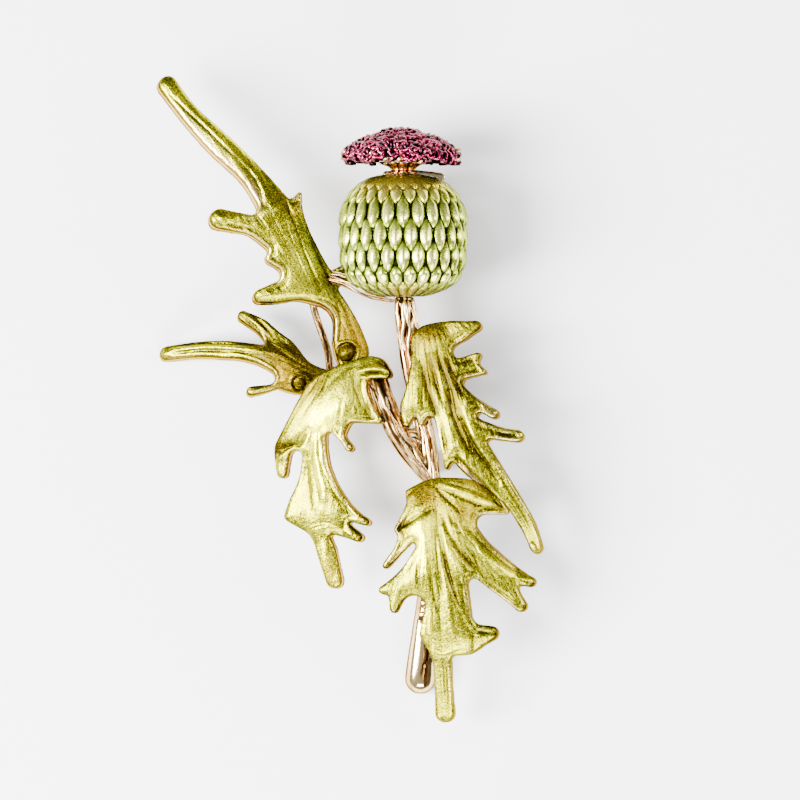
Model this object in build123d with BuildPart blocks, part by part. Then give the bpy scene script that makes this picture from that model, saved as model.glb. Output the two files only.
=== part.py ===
from build123d import *

import os
from collections import namedtuple
from math import atan2, cos, pi, radians, sin, tan

# A thistle brooch that lies on its back: +Y runs up the flower, +X to its right, +Z to the front.
# The rest surface is z = 0. All sizes are in millimetres.

# Joints between pieces, and the clearance of a leaf that lies over another
seat_gap = 0.1
leaf_clearance = 0.3

# Hidden pin at the back
wire_radius = 0.45
wire_lift = 1.0
pin_room = 4.6
strip_thickness = 0.8
strip_width = 2.0
strip_length = 35.0
strip_turn = 7.9
hinge_width = 5.0
hinge_depth = 3.0
catch_width = 4.4
catch_depth = 2.6
block_corner = 0.5
tab_length = 5.95
tab_width = 1.05
tab_rise = 0.35
tab_turn = -11.0

# Stem and its shoots
stem_length = 46.5
stem_radius = 1.0
bulb_radius = 1.65

# Flower globe, neck and tuft
globe_height = 14.2
globe_radius = 7.1
globe_depth_behind = 4.3
keel_height = 0.35
scales_round = 24
neck_height = 1.25
neck_foot_radius = 1.45
neck_top_radius = 2.05
neck_lean = -0.4
tuft_radius = 7.05
tuft_height = 4.1

# Leaves
leaf_thickness = 1.5
flute_depth = 0.3
upper_leaf_length = 40.1
side_leaf_length = 18.6
middle_leaf_length = 25.6
right_leaf_length = 27.95
lower_leaf_length = 27.95
knob_radius = 0.95

# Places in shares of what carries them: the strip's upper end on the globe, the knob on the upper leaf
strip_start_x = -0.272
strip_start_y = 0.975
knob_x = -0.063
knob_y = 0.022

# Seats in shares of deck or of stem_radius: how high a leaf's back lies on its shoot
upper_seat_share = 0.94
side_seat_share = 0.68
lower_seat_rise = 0.6
right_seat_sink = 0.5

# Shares that shape the small forms: how much of a line a bend in an outline rounds away, how far a scale's
# keel reaches towards the next row, and how thick a tuft lock is at its root
bend_share = 0.45
keel_share = 0.4
lock_root_share = 0.5

# Heights above the rest surface that follow from these sizes
strip_top = wire_lift + wire_radius + pin_room + strip_thickness
deck = strip_top + seat_gap + stem_radius
globe_axis_height = strip_top + seat_gap + globe_depth_behind
bulb_height = bulb_radius / deck

# Place of the stem's top, under the globe, whose own axis lies a little to its left
stem_top_x = 6.25
stem_top_y = 12.04
globe_shift = 0.13

# Routes of the stem and its shoots: x and y in shares of stem_length from the globe's foot, height in
# shares of deck, thick in shares of stem_radius.
Station = namedtuple("Station", "x y height thick")

main_stem = [
    Station(0.000, -0.002, 1.26, 1.20),
    Station(0.009, -0.120, 1.17, 1.05),
    Station(0.031, -0.240, 1.10, 1.00),
    Station(0.060, -0.360, 1.03, 0.92),
    Station(0.073, -0.470, 1.00, 0.90),
    Station(0.070, -0.580, 0.84, 0.90),
    Station(0.060, -0.700, 0.64, 0.95),
    Station(0.050, -0.820, 0.42, 1.10),
    Station(0.042, -0.938, 0.23, 1.32),
]
bulb = Station(0.041, -0.962, bulb_height, 1.65)
side_branch = [
    Station(0.073, -0.465, 1.00, 0.80),
    Station(0.022, -0.398, 1.02, 1.15),
    Station(-0.016, -0.345, 1.05, 1.15),
    Station(-0.050, -0.260, 1.06, 1.15),
    Station(-0.095, -0.165, 0.84, 0.80),
]
left_twig = [
    Station(-0.050, -0.268, 0.98, 0.90),
    Station(-0.110, -0.225, 0.82, 0.75),
    Station(-0.190, -0.190, 0.58, 0.70),
]
thin_twig = [
    Station(-0.185, -0.195, 0.60, 0.42),
    Station(-0.192, -0.135, 0.72, 0.42),
    Station(-0.212, -0.075, 0.88, 0.42),
    Station(-0.230, -0.012, 1.00, 0.42),
]
short_twig = [
    Station(-0.010, -0.350, 1.02, 0.50),
    Station(0.018, -0.335, 0.98, 0.35),
    Station(0.045, -0.350, 1.00, 0.40),
]
shoots = [main_stem, side_branch, left_twig, thin_twig, short_twig]

# Outlines of the leaves, anticlockwise, in shares of the leaf's length from its root. A tip is a round that
# the outline goes about on its inside, a notch one that it goes about on its outside, both given by their
# centre, and a bend is a point on a long edge, with no radius.
TIP = 1
NOTCH = -1
BEND = 0
Turn = namedtuple("Turn", "kind x y radius")

upper_outline = [
    Turn(BEND, 0.010, 0.020, 0.0),
    Turn(BEND, -0.020, 0.100, 0.0),
    Turn(BEND, -0.055, 0.160, 0.0),
    Turn(NOTCH, -0.074, 0.206, 0.010),
    Turn(BEND, -0.050, 0.238, 0.0),
    Turn(TIP, -0.022, 0.250, 0.014),
    Turn(TIP, -0.062, 0.276, 0.008),
    Turn(NOTCH, -0.104, 0.268, 0.006),
    Turn(BEND, -0.130, 0.300, 0.0),
    Turn(BEND, -0.168, 0.375, 0.0),
    Turn(BEND, -0.188, 0.430, 0.0),
    Turn(TIP, -0.198, 0.482, 0.008),
    Turn(NOTCH, -0.224, 0.482, 0.012),
    Turn(BEND, -0.300, 0.550, 0.0),
    Turn(BEND, -0.400, 0.650, 0.0),
    Turn(BEND, -0.500, 0.735, 0.0),
    Turn(TIP, -0.580, 0.800, 0.027),
    Turn(BEND, -0.530, 0.690, 0.0),
    Turn(BEND, -0.460, 0.610, 0.0),
    Turn(BEND, -0.360, 0.520, 0.0),
    Turn(NOTCH, -0.338, 0.442, 0.020),
    Turn(TIP, -0.428, 0.411, 0.029),
    Turn(BEND, -0.340, 0.366, 0.0),
    Turn(TIP, -0.292, 0.343, 0.012),
    Turn(NOTCH, -0.295, 0.319, 0.009),
    Turn(TIP, -0.284, 0.296, 0.012),
    Turn(NOTCH, -0.272, 0.250, 0.022),
    Turn(TIP, -0.310, 0.187, 0.020),
    Turn(BEND, -0.250, 0.168, 0.0),
    Turn(BEND, -0.200, 0.178, 0.0),
    Turn(NOTCH, -0.155, 0.105, 0.060),
    Turn(BEND, -0.100, 0.040, 0.0),
    Turn(TIP, -0.045, -0.010, 0.036),
]
side_outline = [
    Turn(TIP, 0.000, -0.045, 0.050),
    Turn(BEND, -0.100, 0.045, 0.0),
    Turn(BEND, -0.200, 0.180, 0.0),
    Turn(BEND, -0.300, 0.250, 0.0),
    Turn(BEND, -0.370, 0.318, 0.0),
    Turn(TIP, -0.520, 0.345, 0.034),
    Turn(BEND, -0.420, 0.235, 0.0),
    Turn(NOTCH, -0.394, 0.174, 0.012),
    Turn(BEND, -0.600, 0.190, 0.0),
    Turn(BEND, -0.800, 0.186, 0.0),
    Turn(TIP, -1.000, 0.110, 0.044),
    Turn(BEND, -0.800, 0.088, 0.0),
    Turn(BEND, -0.520, 0.072, 0.0),
    Turn(BEND, -0.400, 0.035, 0.0),
    Turn(NOTCH, -0.362, -0.042, 0.046),
    Turn(TIP, -0.468, -0.128, 0.030),
    Turn(BEND, -0.370, -0.136, 0.0),
    Turn(NOTCH, -0.296, -0.142, 0.030),
    Turn(BEND, -0.200, -0.140, 0.0),
    Turn(BEND, -0.120, -0.150, 0.0),
]
middle_outline = [
    Turn(TIP, 0.024, -0.012, 0.021),
    Turn(BEND, 0.010, 0.060, 0.0),
    Turn(BEND, -0.050, 0.075, 0.0),
    Turn(BEND, -0.200, 0.030, 0.0),
    Turn(BEND, -0.310, -0.028, 0.0),
    Turn(BEND, -0.372, -0.120, 0.0),
    Turn(BEND, -0.450, -0.270, 0.0),
    Turn(BEND, -0.490, -0.345, 0.0),
    Turn(TIP, -0.452, -0.465, 0.022),
    Turn(NOTCH, -0.387, -0.388, 0.030),
    Turn(BEND, -0.370, -0.490, 0.0),
    Turn(BEND, -0.420, -0.590, 0.0),
    Turn(TIP, -0.415, -0.660, 0.026),
    Turn(BEND, -0.315, -0.745, 0.0),
    Turn(BEND, -0.285, -0.850, 0.0),
    Turn(TIP, -0.214, -0.952, 0.036),
    Turn(BEND, -0.208, -0.800, 0.0),
    Turn(NOTCH, -0.225, -0.748, 0.008),
    Turn(TIP, -0.107, -0.752, 0.018),
    Turn(NOTCH, -0.140, -0.690, 0.006),
    Turn(TIP, -0.068, -0.684, 0.012),
    Turn(BEND, -0.120, -0.628, 0.0),
    Turn(BEND, -0.200, -0.520, 0.0),
    Turn(BEND, -0.245, -0.410, 0.0),
    Turn(NOTCH, -0.232, -0.295, 0.018),
    Turn(BEND, -0.188, -0.310, 0.0),
    Turn(TIP, -0.146, -0.348, 0.012),
    Turn(BEND, -0.172, -0.290, 0.0),
    Turn(NOTCH, -0.130, -0.250, 0.018),
    Turn(TIP, -0.006, -0.222, 0.015),
    Turn(BEND, -0.040, -0.145, 0.0),
    Turn(BEND, -0.063, -0.085, 0.0),
    Turn(NOTCH, -0.040, -0.052, 0.020),
]
right_outline = [
    Turn(BEND, 0.000, 0.040, 0.0),
    Turn(BEND, 0.000, -0.080, 0.0),
    Turn(BEND, -0.020, -0.190, 0.0),
    Turn(BEND, -0.052, -0.265, 0.0),
    Turn(TIP, -0.018, -0.338, 0.010),
    Turn(NOTCH, 0.018, -0.305, 0.005),
    Turn(TIP, 0.042, -0.335, 0.008),
    Turn(NOTCH, 0.081, -0.322, 0.020),
    Turn(BEND, 0.113, -0.370, 0.0),
    Turn(TIP, 0.148, -0.514, 0.009),
    Turn(NOTCH, 0.174, -0.504, 0.011),
    Turn(BEND, 0.230, -0.550, 0.0),
    Turn(BEND, 0.320, -0.608, 0.0),
    Turn(BEND, 0.400, -0.675, 0.0),
    Turn(BEND, 0.470, -0.790, 0.0),
    Turn(TIP, 0.522, -0.846, 0.027),
    Turn(BEND, 0.515, -0.735, 0.0),
    Turn(BEND, 0.410, -0.560, 0.0),
    Turn(NOTCH, 0.330, -0.408, 0.013),
    Turn(TIP, 0.440, -0.382, 0.025),
    Turn(BEND, 0.360, -0.345, 0.0),
    Turn(NOTCH, 0.288, -0.297, 0.014),
    Turn(TIP, 0.342, -0.290, 0.014),
    Turn(BEND, 0.280, -0.232, 0.0),
    Turn(NOTCH, 0.235, -0.162, 0.020),
    Turn(TIP, 0.308, -0.116, 0.008),
    Turn(BEND, 0.280, -0.080, 0.0),
    Turn(TIP, 0.282, -0.042, 0.009),
    Turn(NOTCH, 0.200, -0.030, 0.028),
    Turn(BEND, 0.230, 0.020, 0.0),
    Turn(TIP, 0.268, 0.078, 0.016),
    Turn(BEND, 0.150, 0.098, 0.0),
    Turn(BEND, 0.050, 0.080, 0.0),
]
lower_outline = [
    Turn(BEND, 0.000, 0.010, 0.0),
    Turn(BEND, -0.050, -0.002, 0.0),
    Turn(TIP, -0.116, -0.052, 0.013),
    Turn(NOTCH, -0.132, -0.098, 0.008),
    Turn(BEND, -0.142, -0.140, 0.0),
    Turn(TIP, -0.168, -0.208, 0.009),
    Turn(NOTCH, -0.166, -0.238, 0.007),
    Turn(BEND, -0.175, -0.290, 0.0),
    Turn(TIP, -0.212, -0.360, 0.009),
    Turn(NOTCH, -0.098, -0.276, 0.012),
    Turn(BEND, -0.140, -0.372, 0.0),
    Turn(TIP, -0.226, -0.460, 0.011),
    Turn(NOTCH, -0.208, -0.490, 0.011),
    Turn(TIP, -0.177, -0.540, 0.013),
    Turn(NOTCH, -0.095, -0.532, 0.050),
    Turn(TIP, -0.060, -0.645, 0.012),
    Turn(BEND, -0.014, -0.740, 0.0),
    Turn(BEND, -0.008, -0.850, 0.0),
    Turn(TIP, 0.036, -0.975, 0.040),
    Turn(BEND, 0.065, -0.850, 0.0),
    Turn(NOTCH, 0.077, -0.748, 0.015),
    Turn(BEND, 0.150, -0.730, 0.0),
    Turn(TIP, 0.228, -0.638, 0.022),
    Turn(BEND, 0.150, -0.595, 0.0),
    Turn(NOTCH, 0.155, -0.436, 0.025),
    Turn(BEND, 0.238, -0.468, 0.0),
    Turn(TIP, 0.348, -0.523, 0.022),
    Turn(NOTCH, 0.352, -0.452, 0.010),
    Turn(TIP, 0.388, -0.424, 0.018),
    Turn(BEND, 0.300, -0.335, 0.0),
    Turn(BEND, 0.210, -0.255, 0.0),
    Turn(NOTCH, 0.204, -0.182, 0.037),
    Turn(TIP, 0.292, -0.134, 0.012),
    Turn(BEND, 0.242, -0.045, 0.0),
    Turn(BEND, 0.140, 0.008, 0.0),
]

# Sections across each leaf: along and half are shares of its length, height is the back's height in shares
# of its seat, roll the degrees by which its left side, seen from the root, is raised, and arch how far its
# sides drop, as a share of its length.
Section = namedtuple("Section", "along height roll half arch")

upper_sections = [
    Section(-0.08, 1.00, 2.0, 0.16, 0.010),
    Section(0.20, 1.12, 4.0, 0.22, 0.030),
    Section(0.45, 1.30, 8.0, 0.22, 0.035),
    Section(0.70, 1.25, 12.0, 0.20, 0.020),
    Section(1.04, 0.95, 12.0, 0.16, 0.015),
]
side_sections = [
    Section(-0.09, 1.00, 0.0, 0.30, 0.020),
    Section(0.20, 1.00, 2.0, 0.36, 0.050),
    Section(0.50, 0.85, 5.0, 0.44, 0.060),
    Section(0.80, 0.45, 3.0, 0.40, 0.020),
    Section(1.05, 0.00, 0.0, 0.36, 0.004),
]
middle_sections = [
    Section(-0.12, 0.98, 0.0, 0.40, 0.020),
    Section(0.12, 1.03, 0.0, 0.44, 0.040),
    Section(0.40, 1.00, 8.0, 0.44, 0.070),
    Section(0.70, 0.85, 12.0, 0.40, 0.060),
    Section(1.05, 0.60, 8.0, 0.30, 0.030),
]
right_sections = [
    Section(-0.14, 0.96, 3.0, 0.30, 0.020),
    Section(0.15, 1.03, 5.0, 0.34, 0.040),
    Section(0.45, 1.06, 8.0, 0.36, 0.060),
    Section(0.75, 1.02, 10.0, 0.32, 0.040),
    Section(1.05, 0.72, 8.0, 0.26, 0.015),
]
lower_sections = [
    Section(-0.05, 0.98, 0.0, 0.40, 0.100),
    Section(0.20, 1.12, 0.0, 0.46, 0.170),
    Section(0.50, 1.08, 3.0, 0.46, 0.120),
    Section(0.78, 0.85, 4.0, 0.36, 0.060),
    Section(1.05, 0.50, 3.0, 0.24, 0.020),
]

# Seats of the leaves: each back stands on its shoot, the middle leaf lies over the upper leaf's root and
# the right leaf over a lobe of the lower one.
upper_seat = upper_seat_share * deck
side_seat = side_seat_share * deck
middle_seat = upper_seat + leaf_thickness + leaf_clearance
lower_seat = deck + lower_seat_rise * stem_radius
right_seat = lower_seat + leaf_thickness - right_seat_sink * stem_radius

# The leaves: name, then root_x and root_y on the stem's shares, length, axis in degrees from +X, seat in
# millimetres, number of flutes, outline and sections
Leaf = namedtuple("Leaf", "name root_x root_y length axis seat flutes outline sections")

upper_leaf = Leaf(
    "leaf_upper", -0.095, -0.163, upper_leaf_length, 126, upper_seat, 3, upper_outline, upper_sections
)
side_leaf = Leaf(
    "leaf_side", -0.198, -0.188, side_leaf_length, 173, side_seat, 3, side_outline, side_sections
)
middle_leaf = Leaf(
    "leaf_middle", -0.053, -0.188, middle_leaf_length, 257, middle_seat, 4, middle_outline, middle_sections
)
right_leaf = Leaf(
    "leaf_right", 0.020, -0.120, right_leaf_length, 302, right_seat, 4, right_outline, right_sections
)
lower_leaf = Leaf(
    "leaf_lower", 0.083, -0.458, lower_leaf_length, 272, lower_seat, 6, lower_outline, lower_sections
)
leaves = [upper_leaf, side_leaf, middle_leaf, right_leaf, lower_leaf]


def stem_point(station):
    """Place of a station of the stem or of one of its shoots."""
    return Vector(
        stem_top_x + stem_length * station.x,
        stem_top_y + stem_length * station.y,
        deck * station.height,
    )


def stem_planes(rows):
    """Section planes square to a route, the main stem's first one square to the globe's foot."""
    points = [stem_point(row) for row in rows]
    planes = []
    for index, point in enumerate(points):
        heading = points[min(index + 1, len(points) - 1)] - points[max(index - 1, 0)]
        if index == 0 and rows is main_stem:
            heading = Vector(0, -1, 0)
        planes.append(Plane(origin=point, x_dir=heading.cross(Vector(0, 0, 1)), z_dir=heading))
    return planes


def outline_edges(turns, root, length):
    """Lines and arcs of a leaf's outline, as lists of points: two for a line, three for an arc."""
    centres = [root + Vector(turn.x, turn.y) * length for turn in turns]
    reaches = [turn.kind * turn.radius * length for turn in turns]
    count = len(turns)
    leaving = []
    arriving = []
    for index in range(count):
        follower = (index + 1) % count
        step = centres[follower] - centres[index]
        ahead = step.normalized()
        left = Vector(-ahead.Y, ahead.X)
        lean = (reaches[index] - reaches[follower]) / step.length
        side = ahead * lean - left * (1 - lean * lean) ** 0.5
        leaving.append(centres[index] + side * reaches[index])
        arriving.append(centres[follower] + side * reaches[follower])
    starts = list(leaving)
    ends = list(arriving)
    arcs = []
    for index, turn in enumerate(turns):
        came_from = leaving[index - 1]
        reached = arriving[index - 1]
        left_at = leaving[index]
        going_to = arriving[index]
        if turn.kind == BEND:
            heading_in = (reached - came_from).normalized()
            heading_out = (going_to - left_at).normalized()
            trim = bend_share * min((reached - came_from).length, (going_to - left_at).length)
            half_turn = radians(heading_in.get_angle(heading_out)) / 2
            reached = reached - heading_in * trim
            left_at = left_at + heading_out * trim
            rise = trim * tan(half_turn / 2)
            chord_middle = (reached + left_at) * 0.5
            middle = chord_middle + (centres[index] - chord_middle).normalized() * rise
        else:
            spoke_in = (reached - centres[index]) * (1 / reaches[index])
            spoke_out = (left_at - centres[index]) * (1 / reaches[index])
            angle_in = atan2(spoke_in.Y, spoke_in.X)
            sweep = (atan2(spoke_out.Y, spoke_out.X) - angle_in) * turn.kind % (2 * pi)
            angle_middle = angle_in + turn.kind * sweep / 2
            middle = centres[index] + Vector(cos(angle_middle), sin(angle_middle)) * reaches[index]
        ends[index - 1] = reached
        starts[index] = left_at
        arcs.append((reached, middle, left_at))
    return [(starts[index], ends[index]) for index in range(count)] + arcs


def section_plane(leaf, root, section):
    """Plane across a leaf, with its x to the leaf's left and its y up."""
    along = Vector(cos(radians(leaf.axis)), sin(radians(leaf.axis)))
    left = Vector(-along.Y, along.X)
    origin = root + along * (leaf.length * section.along)
    return Plane(origin=origin, x_dir=left, z_dir=left.cross(Vector(0, 0, 1)))


def section_height(leaf, section, side):
    """Height of a leaf's back at a side share between -1 and 1 of a section's half width."""
    half = leaf.length * section.half
    sag = leaf.length * section.arch
    return leaf.seat * section.height + half * side * tan(radians(section.roll)) - sag * side * side


def flute_arcs(leaf, section):
    """Arcs of a section's front, one for each flute, as lists of three points."""
    half = leaf.length * section.half
    arcs = []
    for flute in range(leaf.flutes):
        sides = [-1 + (flute + step) * 2 / leaf.flutes for step in (0, 0.5, 1)]
        heights = [section_height(leaf, section, side) + leaf_thickness for side in sides]
        lifts = [heights[0] - flute_depth, heights[1], heights[2] - flute_depth]
        arcs.append([(half * side, lift) for side, lift in zip(sides, lifts)])
    return arcs


def leaf_root(leaf):
    """Place of a leaf's root on the rest surface."""
    return Vector(stem_top_x + stem_length * leaf.root_x, stem_top_y + stem_length * leaf.root_y)


# Half widths of the globe at the levels of its scales: level in shares of globe_height, width in shares of
# globe_radius.
Level = namedtuple("Level", "level width")

globe_levels = [
    Level(0.046, 0.46),
    Level(0.144, 0.86),
    Level(0.308, 0.96),
    Level(0.500, 1.00),
    Level(0.695, 0.96),
    Level(0.880, 0.76),
    Level(0.965, 0.53),
]
globe_foot = Level(0.000, 0.30)
globe_crown = Level(1.000, 0.34)

# Rings of locks on the tuft, from the rim to the crown: ring is the locks' root radius and height their
# root height, in shares of tuft_radius and tuft_height, lean their angle above the rim's plane, length and
# thick the locks' length and radius in shares of tuft_radius.
Ring = namedtuple("Ring", "count ring height lean length thick")

tuft_rings = [
    Ring(20, 0.45, 0.20, 2, 0.48, 0.070),
    Ring(18, 0.40, 0.38, 10, 0.405, 0.070),
    Ring(14, 0.26, 0.42, 29, 0.365, 0.065),
    Ring(8, 0.10, 0.45, 49, 0.300, 0.065),
    Ring(3, 0.03, 0.45, 84, 0.240, 0.065),
]
tuft_head = [Level(0.00, 0.60), Level(0.35, 0.64), Level(0.62, 0.44)]
tuft_head_top = 0.74

globe_place = Vector(stem_top_x - globe_shift, stem_top_y, globe_axis_height)
globe_axis = Axis(globe_place, (0, 1, 0))
globe_section = Plane(origin=globe_place, x_dir=(1, 0, 0), z_dir=(0, 0, 1))
neck_foot = globe_height + seat_gap
tuft_foot = neck_foot + neck_height + seat_gap


def globe_point(level, turn, lift=0.0):
    """Point of the globe at a level and a turn of the scale pitch, lifted off its surface."""
    angle = 2 * pi * turn / scales_round
    reach = globe_radius * level.width + lift
    return globe_place + Vector(reach * sin(angle), globe_height * level.level, reach * cos(angle))


def keel_end(here, beyond):
    """Level at which a scale's keel ends, between its own row and the next one."""
    return Level(
        here.level + keel_share * (beyond.level - here.level),
        here.width + keel_share * (beyond.width - here.width),
    )


def scale_faces():
    """Faces of the globe: six to a scale, with a raised keel, and flat rings that close both ends."""
    corners = []
    for row in range(1, len(globe_levels) - 1):
        below, here, above = globe_levels[row - 1 : row + 2]
        for scale in range(scales_round):
            turn = scale + 0.5 * (row % 2)
            left = globe_point(here, turn - 0.5)
            right = globe_point(here, turn + 0.5)
            foot = globe_point(below, turn)
            head = globe_point(above, turn)
            low = globe_point(keel_end(here, below), turn, keel_height)
            high = globe_point(keel_end(here, above), turn, keel_height)
            corners += [(left, high, head), (high, right, head), (left, low, high)]
            corners += [(low, right, high), (left, foot, low), (foot, right, low)]
    last = len(globe_levels) - 1
    for end, inner, closing in ((0, 1, globe_foot), (last, last - 1, globe_crown)):
        lid = []
        for scale in range(scales_round):
            turn = scale + 0.5 * (end % 2)
            left = globe_point(globe_levels[end], turn - 0.5)
            right = globe_point(globe_levels[end], turn + 0.5)
            closing_left = globe_point(closing, turn - 0.5)
            closing_right = globe_point(closing, turn + 0.5)
            corners.append((left, right, globe_point(globe_levels[inner], turn)))
            corners.append((left, closing_left, closing_right, right))
            lid.append(closing_left)
        corners.append(lid)
    return [Face(Wire.make_polygon(points)) for points in corners]


os.makedirs("parts", exist_ok=True)

# Stem with its shoots, as it is and swollen by the seat gap, which is the room that the leaves leave for it
for swell in (seat_gap, 0.0):
    with BuildPart() as stem:
        for shoot in shoots:
            for station, station_plane in zip(shoot, stem_planes(shoot)):
                with BuildSketch(station_plane):
                    Circle(stem_radius * station.thick + swell)
            loft()
        with Locations(stem_point(bulb)):
            Sphere(bulb_radius + swell)
    if swell:
        stem_room = stem.part
stem.part.label = "stem"
export_step(stem.part, "parts/stem.step")

# Room of the globe, which the upper leaf's bridge reaches
with BuildPart() as globe_room:
    with BuildSketch(globe_section):
        with BuildLine():
            room_lift = keel_height + seat_gap
            rim = [(globe_radius * row.width + room_lift, globe_height * row.level) for row in globe_levels]
            Polyline((0, -seat_gap), (rim[0][0], -seat_gap), *rim, (0, rim[-1][1]), close=True)
        make_face()
    revolve(axis=globe_axis)

# Leaves: a fluted, arched sheet lofted through its sections and cut to the leaf's outline
outline_cut_height = 2 * globe_axis_height
for leaf in leaves:
    root = leaf_root(leaf)
    with BuildPart() as blade:
        for section in leaf.sections:
            half = leaf.length * section.half
            with BuildSketch(section_plane(leaf, root, section)):
                with BuildLine():
                    for arc in flute_arcs(leaf, section):
                        ThreePointArc(*arc)
                    back = [(half * side, section_height(leaf, section, side)) for side in (-1, 0, 1)]
                    ThreePointArc(*back)
                    for side in (0, -1):
                        Line(back[side], (back[side][0], back[side][1] + leaf_thickness - flute_depth))
                make_face()
        loft()
        with BuildSketch():
            with BuildLine():
                for points in outline_edges(leaf.outline, root, leaf.length):
                    if len(points) == 2:
                        Line(*points)
                    else:
                        ThreePointArc(*points)
            make_face()
        extrude(amount=outline_cut_height, mode=Mode.INTERSECT)
        if leaf is upper_leaf:
            knob_place = root + Vector(knob_x, knob_y) * leaf.length
            with Locations((knob_place.X, knob_place.Y, leaf.seat + leaf_thickness)):
                Sphere(knob_radius)
            add(globe_room.part, mode=Mode.SUBTRACT)
        add(stem_room, mode=Mode.SUBTRACT)
    blade.part.label = leaf.name
    export_step(blade.part, f"parts/{leaf.name}.step")

# Globe of raised scales, cut flat at the back where it lies on the pin's strip
with BuildPart() as flower_globe:
    add(Solid(Shell(scale_faces())))
    split(bisect_by=Plane.XY.offset(strip_top + seat_gap), keep=Keep.TOP)
flower_globe.part.label = "flower_globe"
export_step(flower_globe.part, "parts/flower_globe.step")

# Neck: a small cup that flares towards the tuft
with BuildPart() as neck:
    with BuildSketch(globe_section):
        with BuildLine():
            foot = Line((0, neck_foot), (neck_foot_radius, neck_foot))
            flare = TangentArc(foot @ 1, (neck_top_radius, neck_foot + neck_height), tangent=(neck_lean, 1))
            Polyline(flare @ 1, (0, neck_foot + neck_height), foot @ 0)
        make_face()
    revolve(axis=globe_axis)
neck.part.label = "neck"
export_step(neck.part, "parts/neck.step")

# Tuft: a low domed head with rings of blunt locks
tuft_locks = []
for ring in tuft_rings:
    lock_radius = tuft_radius * ring.thick
    lock_length = tuft_radius * ring.length
    with BuildPart() as lock:
        Cone(
            lock_root_share * lock_radius,
            lock_radius,
            lock_length,
            align=(Align.CENTER, Align.CENTER, Align.MIN),
        )
        with Locations((0, 0, lock_length)):
            Sphere(lock_radius)
    tuft_locks.append(lock.part)
with BuildPart() as tuft:
    with BuildSketch(globe_section):
        with BuildLine():
            dome = [(tuft_radius * row.width, tuft_foot + tuft_height * row.level) for row in tuft_head]
            Polyline((0, dome[0][1]), *dome[:2])
            top = ThreePointArc(dome[1], dome[2], (0, tuft_foot + tuft_head_top * tuft_height))
            Line(top @ 1, (0, dome[0][1]))
        make_face()
    revolve(axis=globe_axis)
    for ring, lock_solid in zip(tuft_rings, tuft_locks):
        lock_places = []
        for lock_index in range(ring.count):
            angle = 2 * pi * (lock_index + 0.5 * (tuft_rings.index(ring) % 2)) / ring.count
            outward = Vector(sin(angle), 0, cos(angle))
            lock_root = globe_place + outward * (tuft_radius * ring.ring)
            lock_root += Vector(0, tuft_foot + tuft_height * ring.height, 0)
            lock_heading = outward * cos(radians(ring.lean)) + Vector(0, sin(radians(ring.lean)), 0)
            lock_places.append(Plane(origin=lock_root, z_dir=lock_heading))
        with Locations(lock_places):
            add(lock_solid)
tuft.part.label = "tuft"
export_step(tuft.part, "parts/tuft.step")

# Pin: strip, tab, hinge block, catch and wire in one piece
strip_plane = Plane(
    origin=(globe_place.X + strip_start_x * globe_radius, globe_place.Y + strip_start_y * globe_height, 0),
    x_dir=(cos(radians(strip_turn)), sin(radians(strip_turn)), 0),
    z_dir=(0, 0, 1),
)
with BuildPart() as brooch_pin:
    with BuildSketch(strip_plane.offset(strip_top - strip_thickness)):
        with Locations((0, -strip_length / 2)):
            Rectangle(strip_width, strip_length)
        with Locations(Location((0, 0), tab_turn)):
            with Locations((tab_length / 2, tab_rise)):
                SlotCenterToCenter(tab_length, tab_width)
    extrude(amount=strip_thickness)
    with BuildSketch(strip_plane):
        with Locations((0, -hinge_depth / 2)):
            RectangleRounded(hinge_width, hinge_depth, block_corner)
        with Locations((0, catch_depth / 2 - strip_length)):
            RectangleRounded(catch_width, catch_depth, block_corner)
    extrude(amount=strip_top - strip_thickness / 2)
    with BuildSketch(Plane(origin=strip_plane.origin, x_dir=strip_plane.x_dir, z_dir=strip_plane.y_dir)):
        with Locations((0, -wire_lift)):
            Circle(wire_radius)
    extrude(amount=-strip_length)
brooch_pin.part.label = "brooch_pin"
export_step(brooch_pin.part, "parts/brooch_pin.step")
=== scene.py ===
"""Looks of a thistle brooch that lies on its back.

Five enamelled leaves, a scaled flower globe, a curled tuft, a small neck, gold stems and the pin at the back.
Lengths are in millimetres here and become metres when a mesh is put into the scene. A relief value
is painted shade and highlight: -1 is a dark painted shade, as in a hollow, 1 a light painted highlight, as on
a ridge.
"""

from __future__ import annotations

import logging
import math
from dataclasses import dataclass, field
from enum import Enum
from functools import partial
from typing import Any

import bpy
import numpy as np
from mathutils import Matrix, Vector
from mathutils.kdtree import KDTree


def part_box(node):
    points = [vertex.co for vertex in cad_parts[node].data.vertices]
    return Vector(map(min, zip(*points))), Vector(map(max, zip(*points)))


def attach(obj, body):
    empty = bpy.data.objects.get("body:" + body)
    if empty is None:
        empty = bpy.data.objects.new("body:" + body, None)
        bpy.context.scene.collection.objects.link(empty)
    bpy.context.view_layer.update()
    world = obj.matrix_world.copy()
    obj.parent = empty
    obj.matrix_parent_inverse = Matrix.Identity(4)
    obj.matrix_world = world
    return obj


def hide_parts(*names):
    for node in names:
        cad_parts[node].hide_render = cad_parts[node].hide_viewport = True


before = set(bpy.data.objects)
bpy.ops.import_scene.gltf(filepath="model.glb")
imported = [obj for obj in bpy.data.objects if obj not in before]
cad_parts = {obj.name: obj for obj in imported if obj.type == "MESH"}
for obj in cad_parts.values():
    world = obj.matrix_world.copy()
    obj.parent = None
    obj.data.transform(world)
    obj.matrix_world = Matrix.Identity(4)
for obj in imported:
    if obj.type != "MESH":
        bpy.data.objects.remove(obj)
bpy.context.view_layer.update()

LOG = logging.getLogger("thistle_brooch")
MILLIMETRE = 0.001
BODY = "root"
ANY_DIRECTION = (0.31, 0.52, 0.79)
PER_LENGTH = 1000
Array = np.ndarray
Colour = tuple[float, float, float]
Face = tuple[int, ...]
Pair = tuple[float, float]
Span = tuple[float, float, float, float]
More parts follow.
